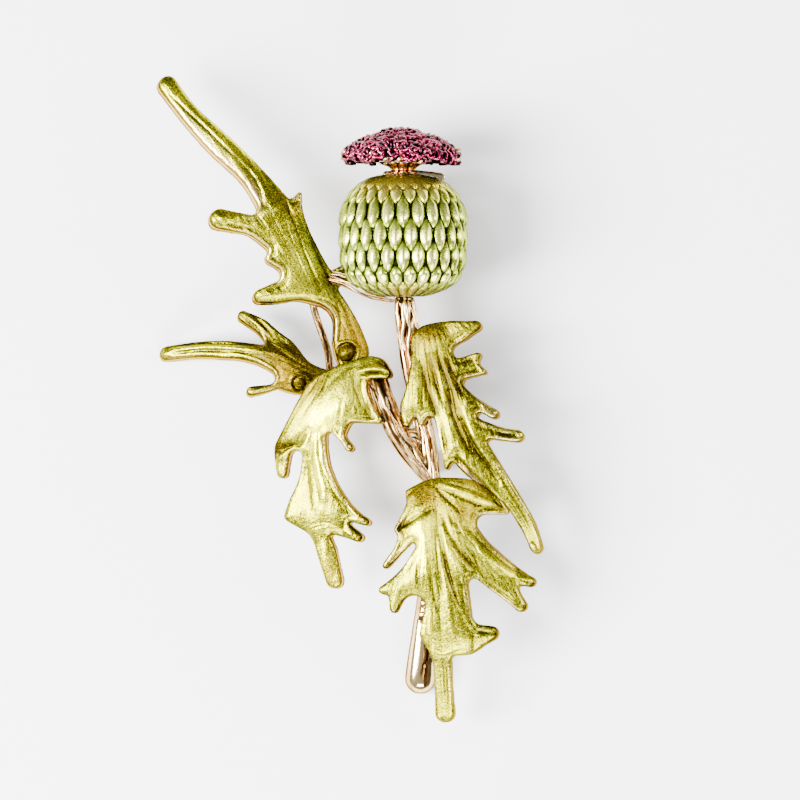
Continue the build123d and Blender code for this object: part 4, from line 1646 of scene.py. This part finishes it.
    def shoot_radii(self, shoot: Shoot, runs: Array, along: Array, distance: Array) -> tuple[Array, Array]:
        """Where a shoot's strands have their rings, and how thick the shoot is there.

        Args:
            shoot: the shoot.
            runs: runs of its joints.
            along: runs of the vertices that belong to it.
            distance: their distances from its route.

        Returns:
            The runs of the rings and the radii, in millimetres.
        """
        count = max(int(runs[-1] * (shoot.last - shoot.first) / self.strand_pitch), 8)
        run = np.linspace(shoot.first, shoot.last, count) * runs[-1]
        radii = np.full(count, shoot.radius)
        if not shoot.radius:
            near = [distance[np.abs(along - place) < self.shoot_sample] for place in run]
            radii = np.array([np.median(part) if len(part) else self.shoot_radius for part in near])
            radii = smoothed(radii, 3)
        return run, np.clip(radii, *self.strand_radii)

    def add_strand(self, batch: MeshBatch, shoot: Shoot, index: int, route: tuple[Array, Array],
                   rings: tuple[Array, Array]) -> None:
        """Lay one strand on a shoot.

        Args:
            batch: the stem's mesh.
            shoot: the shoot.
            index: the strand's number, which sets its angle and its wander.
            route: runs and places of the shoot's joints.
            rings: runs of the strand's rings, and the shoot's radii there.
        """
        run, radii = rings
        count = len(run)
        gaps = np.linspace(-self.bend_reach, self.bend_reach, self.bend_samples)
        middle = sum(interpolated(run + gap, *route) for gap in gaps) / self.bend_samples
        shifts = np.array(self.strand_steps) * index
        turns = sum(wave.at(run, shift) for wave, shift in zip(self.strand_wander, shifts))
        turns += math.radians(shoot.angles[index])
        headings = np.gradient(middle, axis=0)
        headings /= np.linalg.norm(headings, axis=1, keepdims=True)
        axes = [cross_axes(heading) for heading in headings]
        out = np.array([up * math.cos(turn) + side * math.sin(turn) for (up, side), turn in zip(axes, turns)])
        path = middle + out * (radii * self.strand_lift)[:, None]
        ends = np.minimum(np.arange(count), np.arange(count)[::-1]) / self.strand_ease + self.strand_end
        reach = radii * self.strand_share * (1 + self.strand_bulge.at(run, shifts[2])) * np.clip(ends, 0, 1)
        points = tube_points(path, reach, self.strand_sides)
        outward = ((points - path[:, None]) * out[:, None]).sum(2) / np.maximum(reach[:, None], 1e-6)
        faces = loft_faces(count, self.strand_sides)
        step, start = self.strand_flow
        flow = {"across": np.arange(self.strand_sides) * step + start * index, "along": run[:, None]}
        # Painted highlight on the strand's outer side, painted shade on its sides, darker still by the
        # shoot's shade.
        batch.add(points, faces, relief=between(outward, self.strand_tone) - shoot.shade, polish=0.0, **flow)


def smoothed(values: Array, reach: int) -> Array:
    """Values averaged over that many neighbours on either side."""
    return np.convolve(np.pad(values, reach, "edge"), np.ones(2 * reach + 1) / (2 * reach + 1), "valid")


def cross_axes(heading: Array) -> tuple[Array, Array]:
    """Two unit directions square to a heading.

    Args:
        heading: a unit direction.

    Returns:
        The one nearest to straight up, and the one beside it.
    """
    up = np.array((0.0, 0.0, 1.0)) - heading[2] * heading
    up /= np.linalg.norm(up)
    return up, np.cross(heading, up)


def interpolated(run: Array, runs: Array, joints: Array) -> Array:
    """Points at given runs along a line of joints."""
    return np.stack([np.interp(run, runs, joints[:, axis]) for axis in range(3)], axis=1)


def rounded(place: Any, fullness: float) -> Any:
    """1 in the middle of a form, falling to 0 at its ends -1 and 1, the later the fuller it is."""
    return 1 - np.abs(place) ** fullness


def turned(centre: Array, radius: Any, angle: Any, height: Any) -> Array:
    """Points around an axis that runs up the picture.

    Args:
        centre: a point of the axis.
        radius: distances from it, in millimetres.
        angle: angles about it from the front, in radians.
        height: heights up the picture, in millimetres.

    Returns:
        The points, in an array as large as the values make together.
    """
    places = (centre[0] + radius * np.sin(angle), height, centre[2] + radius * np.cos(angle))
    return np.stack(np.broadcast_arrays(*places), axis=-1)


@dataclass(frozen=True)
class ScaleRow:
    """A row of scales: level and height in shares of the globe's height, lift in millimetres."""

    level: float
    height: float
    lift: float


@dataclass
class FlowerGlobe:
    """Barrel of staggered pointed scales, cut flat at the back.

    Levels are shares of the globe's height, and the profile lists levels and radii in shares of its half
    width. Turns are counted in scale pitches from the front. A scale is a dome with a keel along it, sunk
    into the bed at its edges, with its lower tip raised a little. Its colour holds a painted highlight in its
    middle and painted shade at its edges, under it, on the bed between scales and towards the globe's sides.
    """

    node: str = "flower_globe"
    scales_round: int = 24
    profile: tuple[Pair, ...] = (
        (0.0, 0.3), (0.015, 0.42), (0.06, 0.66), (0.11, 0.8), (0.18, 0.9), (0.3, 0.955),
        (0.45, 0.975), (0.62, 0.97), (0.76, 0.925), (0.86, 0.82), (0.93, 0.68), (0.975, 0.54),
        (1.0, 0.34),
    )
    rows: tuple[ScaleRow, ...] = (
        ScaleRow(0.055, 0.13, 0.25),
        ScaleRow(0.155, 0.22, 0.34),
        ScaleRow(0.325, 0.285, 0.38),
        ScaleRow(0.505, 0.3, 0.42),
        ScaleRow(0.695, 0.3, 0.41),
        ScaleRow(0.86, 0.21, 0.22),
        ScaleRow(0.945, 0.14, 0.12),
    )
    inset: float = 0.05
    back_gap: float = 0.2
    half_width: float = 0.53
    tip_run: float = 0.985
    sink: float = 0.14
    tip_lift: float = 0.14
    keel: float = 0.24
    crown_lean: float = 0.25
    shine_lean: float = 0.2
    scale_tone: Pair = (-1.5, 0.6)
    under_tone: float = -1.3
    cap_tone: Pair = (-0.9, 0.2)
    bed: float = 0.12
    root_depth: float = 0.37
    cap_levels: Pair = (0.86, 0.91)
    cap_lift: float = 0.16
    warm_cap: Pair = (0.84, 0.9)
    warm_cap_turn: Pair = (0.25, 0.6)
    warm_foot: Pair = (0.13, 0.05)
    warm_foot_turn: Pair = (0.8, 0.95)
    foot_warmth: float = 0.5
    side_shade: float = 0.75
    bed_levels: int = 41
    sections: int = 15
    across: int = 9

    def make(self, material: Material) -> Thing:
        """Build and dress the globe.

        Args:
            material: the globe finish.

        Returns:
            The globe.
        """
        low, high = node_box(self.node)
        self.height = high[1] - low[1]
        self.radius = (high[0] - low[0]) / 2 - self.inset
        self.centre = np.array(((low[0] + high[0]) / 2, low[1], high[2] - self.radius - self.inset))
        self.back = low[2]
        batch = MeshBatch()
        self.add_barrel(batch)
        for index, row in enumerate(self.rows):
            for scale in range(self.scales_round):
                self.add_scale(batch, row, scale + 0.5 * (index % 2))
        globe = batch.build("globe_scales")
        dress(globe, material, self.node)
        return globe

    def reach(self, level: Any) -> Any:
        """Barrel radius at a level, in millimetres."""
        return np.interp(level, *np.array(self.profile).T) * self.radius

    def facing(self, turn: Any) -> Any:
        """How far the barrel faces the front at a turn: 1 at the front, 0 at a side."""
        return np.cos(2 * np.pi * turn / self.scales_round)

    def place(self, level: Any, turn: Any, lift: Any) -> Array:
        """Points of the barrel.

        Args:
            level: height shares.
            turn: turns in scale pitches from the front.
            lift: heights above the barrel in millimetres.

        Returns:
            Points, held in front of the flat back.
        """
        height = self.centre[1] + self.height * np.clip(level, 0, 1)
        points = turned(self.centre, self.reach(level) + lift, 2 * np.pi * turn / self.scales_round, height)
        points[..., 2] = np.maximum(points[..., 2], self.back)
        return points

    def add_barrel(self, batch: MeshBatch) -> None:
        """Add the bed under the scales, which the cap rises from.

        Args:
            batch: the globe's mesh.
        """
        levels = np.linspace(0, 1, self.bed_levels)[:, None]
        turns = np.arange(self.scales_round * 4) / 4
        cap = part_way(levels, *self.cap_levels)
        lift = (self.bed + self.cap_lift) * cap * cap * (3 - 2 * cap) - self.bed
        points = self.place(levels, turns, lift)
        faces = loft_faces(*points.shape[:2], inside_out=True)
        # Painted shade on the bed between the scales, fading out over the cap.
        batch.add(points, faces, relief=between(cap, self.cap_tone), warmth=self.warmth(levels, turns))

    def warmth(self, level: Any, turn: Any) -> Any:
        """Share of ochre, which lies over the cap, and low at the front by the stem.

        Args:
            level: height shares.
            turn: turns in scale pitches from the front.

        Returns:
            The shares.
        """
        facing = self.facing(turn)
        cap = part_way(level, *self.warm_cap) * part_way(facing, *self.warm_cap_turn)
        foot = part_way(level, *self.warm_foot) * part_way(facing, *self.warm_foot_turn)
        return np.clip(cap + self.foot_warmth * foot, 0, 1)

    def add_scale(self, batch: MeshBatch, row: ScaleRow, turn: float) -> None:
        """Add one pointed scale, unless it lies on the flat back.

        Args:
            batch: the globe's mesh.
            row: the scale's row.
            turn: its place round the globe, in scale pitches.
        """
        facing = self.facing(turn)
        if self.centre[2] + self.reach(row.level) * facing < self.back + self.back_gap:
            return
        run = np.linspace(-self.tip_run, self.tip_run, self.sections)[:, None]
        side = np.linspace(-1, 1, self.across)
        crown = rounded(run, 2.4) * (1 - self.crown_lean * run)
        dome = row.lift * rounded(side, 2.2) + self.keel * rounded(side, 1.1)
        front = crown * dome - self.sink + self.tip_lift * np.clip(-run, 0, 1)
        level = row.level + 0.5 * row.height * run
        turns = turn + self.half_width * rounded(run, 1.85) ** 0.88 * side
        under = self.place(level, turns[:, 2:-2:2][:, ::-1], -self.root_depth)
        points = np.concatenate((self.place(level, turns, front), under), axis=1)
        # Painted highlight in the scale's middle, painted shade at its edges and towards the globe's sides,
        # and painted shade under it.
        shine = rounded(run, 3.6) * rounded(side, 3.2) * (1 - self.shine_lean * run)
        tone = between(shine, self.scale_tone) - self.side_shade * (1 - abs(facing)) ** 2
        relief = np.concatenate((tone, np.full(under.shape[:2], self.under_tone)), axis=1)
        batch.add(points, loft_faces(*relief.shape), relief=relief, warmth=self.warmth(row.level, turn))


@dataclass
class Neck:
    """Small fluted gold cup between the globe and the tuft.

    The profile lists heights in shares of the cup's height, and radii in shares of its half width.
    """

    node: str = "neck"
    petals: int = 10
    profile: tuple[Pair, ...] = (
        (0.0, 0.92), (0.08, 0.96), (0.2, 0.78), (0.36, 0.7), (0.58, 0.82), (0.82, 1.06), (1.0, 1.18),
    )
    petal_depth: float = 0.1
    petal_foot: float = 0.4
    petal_fullness: float = 0.7
    petal_tone: Pair = (-1.7, 0.3)
    petal_steps: int = 8
    rings: int = 17
    polish: float = 0.3

    def make(self, material: Material) -> Thing:
        """Build and dress the neck.

        Args:
            material: the gold finish.

        Returns:
            The neck.
        """
        low, high = node_box(self.node)
        levels = np.linspace(0, 1, self.rings)[:, None]
        angle = round_turn(self.petals * self.petal_steps)
        petal = np.abs(np.cos(self.petals * angle / 2)) ** self.petal_fullness
        width = (high[0] - low[0]) / 2 * np.interp(levels, *np.array(self.profile).T)
        reach = width * (1 - self.petal_depth * (1 - petal) * (self.petal_foot + levels))
        points = turned((low + high) / 2, reach, angle, low[1] + (high[1] - low[1]) * levels)
        faces = loft_faces(*reach.shape, inside_out=True)
        batch = MeshBatch()
        # Painted shade in the flutes between the petals, and a faint painted highlight on the petals.
        batch.add(points, faces, relief=between(petal, self.petal_tone), polish=self.polish)
        neck = batch.build("neck_petals")
        dress(neck, material, self.node)
        return neck


@dataclass
class CurledTuft:
    """Dome of curled threads on a hidden head.

    Threads stand on the dome in a spiral, some more lie round its rim, and dips part them into clumps. The
    profile lists distances from the dome's middle and heights, in shares of its radius and height. A thread's
    run goes from its root, 0, to its tip, 1. A lying thread comes up until rise_end and goes across the dome
    from there. A standing one curls over from hook_start on. Values that differ from thread to thread are
    drawn between two ends.
    """

    node: str = "tuft"
    threads: int = 430
    rim_threads: int = 120
    thread_radius: float = 0.205
    thread_length: float = 1.35
    shift: float = -0.3
    spread: float = 0.15
    skirt: float = -0.26
    lying_share: float = 0.68
    clumps: int = 7
    clump_depth: float = 0.04
    clump_twist: float = 3.0
    clump_drop: float = 2.2
    lean: Pair = (10.0, 82.0)
    lean_curve: float = 1.8
    rim_lean: float = 92.0
    rim_shares: Pair = (0.9, 0.99)
    rim_tops: Pair = (0.15, 0.8)
    lengths: Pair = (0.75, 1.25)
    waves: Pair = (0.8, 1.3)
    dives: Pair = (0.0, 0.06)
    shifts: Pair = (0.0, 6.3)
    foot_gaps: Pair = (0.0, 0.2)
    radii: Pair = (0.88, 1.12)
    tones: Pair = (-0.4, 0.4)
    rise_end: float = 0.22
    dip_start: float = 0.75
    dip: float = 0.35
    lying_middle: float = 0.42
    lying_bend: float = 0.2
    lying_wiggle: float = 0.3
    bend_pitch: float = 1.4
    hook_start: float = 0.62
    hook_reach: Pair = (0.15, 0.34)
    standing_depth: float = 1.5
    standing_sway: Wave = Wave(0.25, 5.0)
    standing_wiggle: Wave = Wave(0.2, 6.0, math.pi / 2)
    taper_start: float = 0.84
    taper_run: float = 0.175
    taper_least: float = 0.12
    thread_tone: Pair = (-1.4, 1.2)
    root_shade: float = 1.6
    root_fade: float = 7.0
    rubbed_share: float = 0.15
    rubbed: float = 0.9
    head_reach: Pair = (0.02, 0.88)
    head_rings: int = 16
    head_sides: int = 48
    head_depth: float = 0.75
    head_foot: tuple[Pair, ...] = ((0.02, 0.1), (0.42, 0.05), (0.84, 0.25))
    head_gap: float = 0.02
    head_tone: float = -1.3
    sides: int = 6
    joints: int = 13
    seed: int = 11
    profile: tuple[Pair, ...] = (
        (0.0, 1.0), (0.26, 0.97), (0.4, 0.81), (0.6, 0.75), (0.74, 0.6), (0.88, 0.43), (1.0, 0.22),
    )

    def make(self, material: Material) -> Thing:
        """Build and dress the tuft.

        Args:
            material: the tuft finish.

        Returns:
            The tuft.
        """
        low, high = node_box(self.node)
        self.radius = (high[0] - low[0]) / 2 + self.spread
        self.height = high[1] - low[1]
        self.low = low[2]
        self.foot = np.array(((low[0] + high[0]) / 2 + self.shift, low[1], (low[2] + high[2]) / 2))
        draws = np.random.default_rng(self.seed)
        batch = MeshBatch()
        self.add_head(batch)
        for index in range(self.threads + self.rim_threads):
            self.add_thread(batch, index, draws)
        tuft = batch.build("tuft_curls")
        dress(tuft, material, self.node)
        return tuft

    def top(self, share: Any) -> Any:
        """Height of the dome above its foot, in millimetres, at shares of its radius."""
        return np.interp(share, *np.array(self.profile).T) * self.height

    def add_head(self, batch: MeshBatch) -> None:
        """Add the head under the threads, painted dark as the shade between them.

        Args:
            batch: the tuft's mesh.
        """
        shares = np.linspace(*self.head_reach, self.head_rings)[::-1]
        dome = np.stack((shares, self.top(shares) - self.head_depth), axis=1)
        reach, rise = np.concatenate((self.head_foot, dome)).T[..., None]
        height = self.foot[1] + np.maximum(rise, self.head_gap)
        points = turned(self.foot, self.radius * reach, round_turn(self.head_sides), height)
        batch.add(points, loft_faces(*points.shape[:2], inside_out=True), relief=self.head_tone, bare=0.0)

    def seat(self, index: int, draws: np.random.Generator) -> Triple:
        """Where a thread stands on the dome.

        Args:
            index: the thread's number.
            draws: source of its unevenness.

        Returns:
            Its share of the dome's radius, its angle from the front and its height in millimetres.
        """
        rim = index >= self.threads
        angle = index * math.pi * (3 - math.sqrt(5))
        share = between(draws.random(), self.rim_shares) if rim else math.sqrt((index + 0.5) / self.threads)
        dip = 0.5 - 0.5 * math.cos(self.clumps * angle + self.clump_twist * share)
        top = self.top(share)
        if rim:
            top *= between(draws.random(), self.rim_tops)
        else:
            top -= self.clump_drop * self.clump_depth * self.height * dip * share * (1 - share)
        return share * (1 - self.clump_depth * dip * share), angle, top

    def add_thread(self, batch: MeshBatch, index: int, draws: np.random.Generator) -> None:
        """Add one curled thread.

        Args:
            batch: the tuft's mesh.
            index: the thread's number, which gives its place on the dome.
            draws: source of its unevenness.
        """
        rim = index >= self.threads
        share, angle, top = self.seat(index, draws)
        out = np.array((math.sin(angle), 0.0, math.cos(angle)))
        up = np.array((0.0, 1.0, 0.0))
        lean = math.radians(self.rim_lean if rim else between(share**self.lean_curve, self.lean))
        heading = up * math.cos(lean) + out * math.sin(lean)
        slope = out * math.cos(lean) - up * math.sin(lean)
        surface = self.foot + out * self.radius * share + up * top - heading * self.thread_radius
        spin = draws.random() * 2 * math.pi
        across = slope * math.cos(spin) + np.cross(heading, slope) * math.sin(spin)
        axes = np.stack((-heading, across, np.cross(heading, across)))
        run = np.linspace(0, 1, self.joints)
        lying = rim or draws.random() < self.lying_share
        curl = self.lying_curl(run, spin, draws) if lying else self.standing_curl(run, spin)
        path = surface + curl @ axes
        lowest = self.foot[1] + self.skirt + between(draws.random(), self.foot_gaps)
        path[:, 1] = np.maximum(path[:, 1], lowest)
        path[:, 2] = np.maximum(path[:, 2], self.low + self.thread_radius)
        radius = self.thread_radius * between(draws.random(), self.radii)
        taper = np.clip(run - self.taper_start, 0, 1) / self.taper_run
        points = tube_points(path, radius * np.sqrt(np.clip(1 - taper**2, self.taper_least, 1)), self.sides)
        outward = (points - path[:, None]) @ heading / radius
        rubbed = self.rubbed if rim and draws.random() < self.rubbed_share else 0.0
        # Painted highlight on the side of each thread that faces out of the dome, painted shade on the side
        # that faces in and at its root; the last term is a random tone.
        depth = np.maximum(self.root_shade - self.root_fade * run, 0)[:, None]
        relief = between(outward, self.thread_tone) - depth + between(draws.random(), self.tones)
        batch.add(points, loft_faces(self.joints, self.sides), relief=relief, bare=rubbed)

    def lying_curl(self, run: Array, spin: float, draws: np.random.Generator) -> Array:
        """Curl of a thread that lies on the dome.

        Args:
            run: shares of the thread's run.
            spin: angle that sets its phase.
            draws: source of its unevenness.

        Returns:
            Its depth, its way across and its wiggle at each share, in millimetres.
        """
        length = self.thread_length * between(draws.random(), self.lengths)
        pitch = 2 * math.pi * between(draws.random(), self.waves)
        travel = part_way(run, self.rise_end, 1.0)
        dive = part_way(run, self.rise_end, 0.0) + self.dip * part_way(travel, self.dip_start, 1.0)
        bend = Wave(self.lying_bend, self.bend_pitch * pitch, spin)
        dive += bend.at(travel) + between(draws.random(), self.dives)
        wiggle = Wave(self.lying_wiggle, pitch, between(draws.random(), self.shifts)).at(travel)
        return np.stack((dive, (travel - self.lying_middle) * length, wiggle), axis=1)

    def standing_curl(self, run: Array, spin: float) -> Array:
        """Curl of a thread that stands on the dome, with a hook at its end.

        Args:
            run: shares of the thread's run.
            spin: angle that sets its phase.

        Returns:
            Its depth, its way across and its wiggle at each share, in millimetres.
        """
        hook = part_way(run, self.hook_start, 1.0)
        dive = (1 - run) * self.standing_depth + hook**2 * self.hook_reach[0]
        across = self.standing_sway.at(run, spin) * run + hook * self.hook_reach[1]
        return np.stack((dive, across, self.standing_wiggle.at(run, spin) * run), axis=1)


@dataclass
class BroochPin:
    """Hidden pin at the back with softened edges, its catch tucked in behind the stem.

    The strip's middle line goes from its top to its catch, in shares of the node's box. The catch is narrowed
    over the last share of the line. The tab that shows by the neck is drawn out and raised a little.
    """

    node: str = "brooch_pin"
    voxel: float = 0.14
    soften: int = 2
    top: Pair = (0.261, 0.975)
    catch: Pair = (0.775, 0.006)
    catch_run: Pair = (0.88, 0.91)
    catch_width: float = 0.62
    tab_start: float = 1.2
    tab_ease: float = 1.0
    tab_low: float = 24.4
    tab_depth: float = 1.2
    tab_stretch: float = 0.08
    tab_rise: float = 0.42
    tab_fall: float = 0.06
    tone: float = 0.7

    def make(self, material: Material) -> Thing:
        """Build and dress the pin.

        Args:
            material: the gold finish.

        Returns:
            The pin.
        """
        skin = CastSkin(self.node, self.voxel, self.soften)
        low, high = node_box(self.node)
        top, catch = (low[:2] + np.array(end) * (high - low)[:2] for end in (self.top, self.catch))
        points = skin.points
        run = (top[1] - points[:, 1]) / (top[1] - catch[1])
        beside = points[:, 0] - top[0] - run * (catch[0] - top[0])
        points[:, 0] -= beside * (1 - self.catch_width) * part_way(run, *self.catch_run)
        tab = part_way(beside, self.tab_start, self.tab_start + self.tab_ease)
        tab *= (points[:, 1] > self.tab_low) & (points[:, 2] > high[2] - self.tab_depth)
        points[:, 0] += tab * (beside - self.tab_start) * self.tab_stretch
        points[:, 1] += tab * (self.tab_rise - (beside - self.tab_start) * self.tab_fall)
        # The pin's tone is a painted highlight that lightens its gold.
        pin = put_mesh("brooch_pin_plated", points, skin.faces, {"relief": np.full(len(points), self.tone)})
        dress(pin, material, self.node)
        return pin


@dataclass(frozen=True)
class SoftBox:
    """A soft box that faces the brooch: its centre and size in millimetres, and its power in watts."""

    name: str
    place: Triple
    size: Pair
    power: float

    def make(self) -> None:
        """Add the light."""
        light = bpy.data.lights.new(self.name, "AREA")
        light.shape = "RECTANGLE"
        light.size, light.size_y = np.array(self.size) * MILLIMETRE
        light.energy = self.power
        lamp = bpy.data.objects.new(self.name, light)
        lamp.location = Vector(self.place) * MILLIMETRE
        lamp.rotation_euler = (-lamp.location).to_track_quat("-Z", "Y").to_euler()
        bpy.context.scene.collection.objects.link(lamp)


@dataclass
class Studio:
    """Pale floor, soft lights and the camera straight above the brooch.

    The view's width is measured at the height of the deck, where the leaves' fronts lie. The surroundings are
    as strong as glow says, from the dim side to the bright one.
    """

    view_width: float = 93.17
    view_x: float = 5.77
    view_y: float = 0.04
    view_height: float = 1500.0
    deck_height: float = 8.0
    sensor: float = 36.0
    sight: float = 100.0
    floor_size: float = 6000.0
    world_colour: Colour = (0.95, 0.96, 1.0)
    bright_side: Triple = (-0.78, -0.42, 0.46)
    glow_turn: Pair = (-0.5, 0.9)
    glow: Pair = (0.12, 0.62)
    soft_boxes: tuple[SoftBox, ...] = (
        SoftBox("key_left", (-400, -60, 430), (260, 380), 24.0),
        SoftBox("foot_fill", (40, -470, 330), (480, 160), 8.0),
        SoftBox("right_strip", (420, 60, 260), (70, 420), 3.0),
        SoftBox("spark", (-140, 150, 520), (14, 14), 0.45),
    )

    def make(self) -> None:
        """Build the floor, surroundings, lights and camera."""
        self.make_floor()
        self.make_surroundings()
        for box in self.soft_boxes:
            box.make()
        self.make_camera()
        LOG.info("studio: floor, lights and camera")

    def make_floor(self) -> None:
        """Add the floor, which is no part of the brooch."""
        half = self.floor_size / 2
        corners = np.array(((-half, -half, 0), (half, -half, 0), (half, half, 0), (-half, half, 0)), float)
        floor = put_mesh("floor", corners, [(0, 1, 2, 3)], {})
        floor.data.materials.append(FloorFinish().build())

    def make_surroundings(self) -> None:
        """Add the pale surroundings, brighter on one side."""
        world = bpy.data.worlds.new("pale_surroundings")
        world.use_nodes = True
        graph = Graph(world.node_tree)
        sides = {0: graph.place("Generated"), 1: self.bright_side}
        towards = graph.add("VectorMath", sides, operation="DOT_PRODUCT").outputs["Value"]
        strength = graph.spread(towards, self.glow_turn, self.glow)
        shade = world.node_tree.nodes["Background"]
        graph.feed(shade, {"Color": rgba(self.world_colour), "Strength": strength})
        bpy.context.scene.world = world

    def make_camera(self) -> None:
        """Add the camera, far above, with the photograph's frame at the height of the leaves."""
        lens = bpy.data.cameras.new("camera")
        lens.sensor_width = self.sensor
        lens.lens = self.sensor * self.view_height / self.view_width
        lens.clip_end = self.sight
        camera = bpy.data.objects.new("camera", lens)
        camera.location = Vector((self.view_x, self.view_y, self.view_height + self.deck_height)) * MILLIMETRE
        bpy.context.scene.collection.objects.link(camera)
        bpy.context.scene.camera = camera


BARK_GOLD = GoldFinish(
    "bark_gold", (0.04, 0.013, 0.002), (0.52, 0.3, 0.095), (0.86, 0.63, 0.29), (0.3, 0.18, 0.09),
    outline=0.1, outline_turn=(0.3, 0.95), streak=0.7,
)
NECK_GOLD = GoldFinish("neck_gold", (0.06, 0.012, 0.002), (0.56, 0.31, 0.1), (0.92, 0.72, 0.44))


def main() -> None:
    """Build the brooch and its studio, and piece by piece."""
    logging.basicConfig(level=logging.INFO, format="%(name)s: %(message)s")
    plate = GoldFinish().build()
    bark = BARK_GOLD.build()
    olive = LeafFinish().build()
    for leaf in (leaf_upper(), leaf_side(), leaf_middle(), leaf_right(), leaf_lower()):
        leaf.make(olive)
    GoldStem().make(bark)
    FlowerGlobe().make(GlobeFinish().build())
    Neck().make(NECK_GOLD.build())
    CurledTuft().make(TuftFinish().build())
    BroochPin().make(plate)
    Studio().make()


if __name__ == "__main__":
    main()
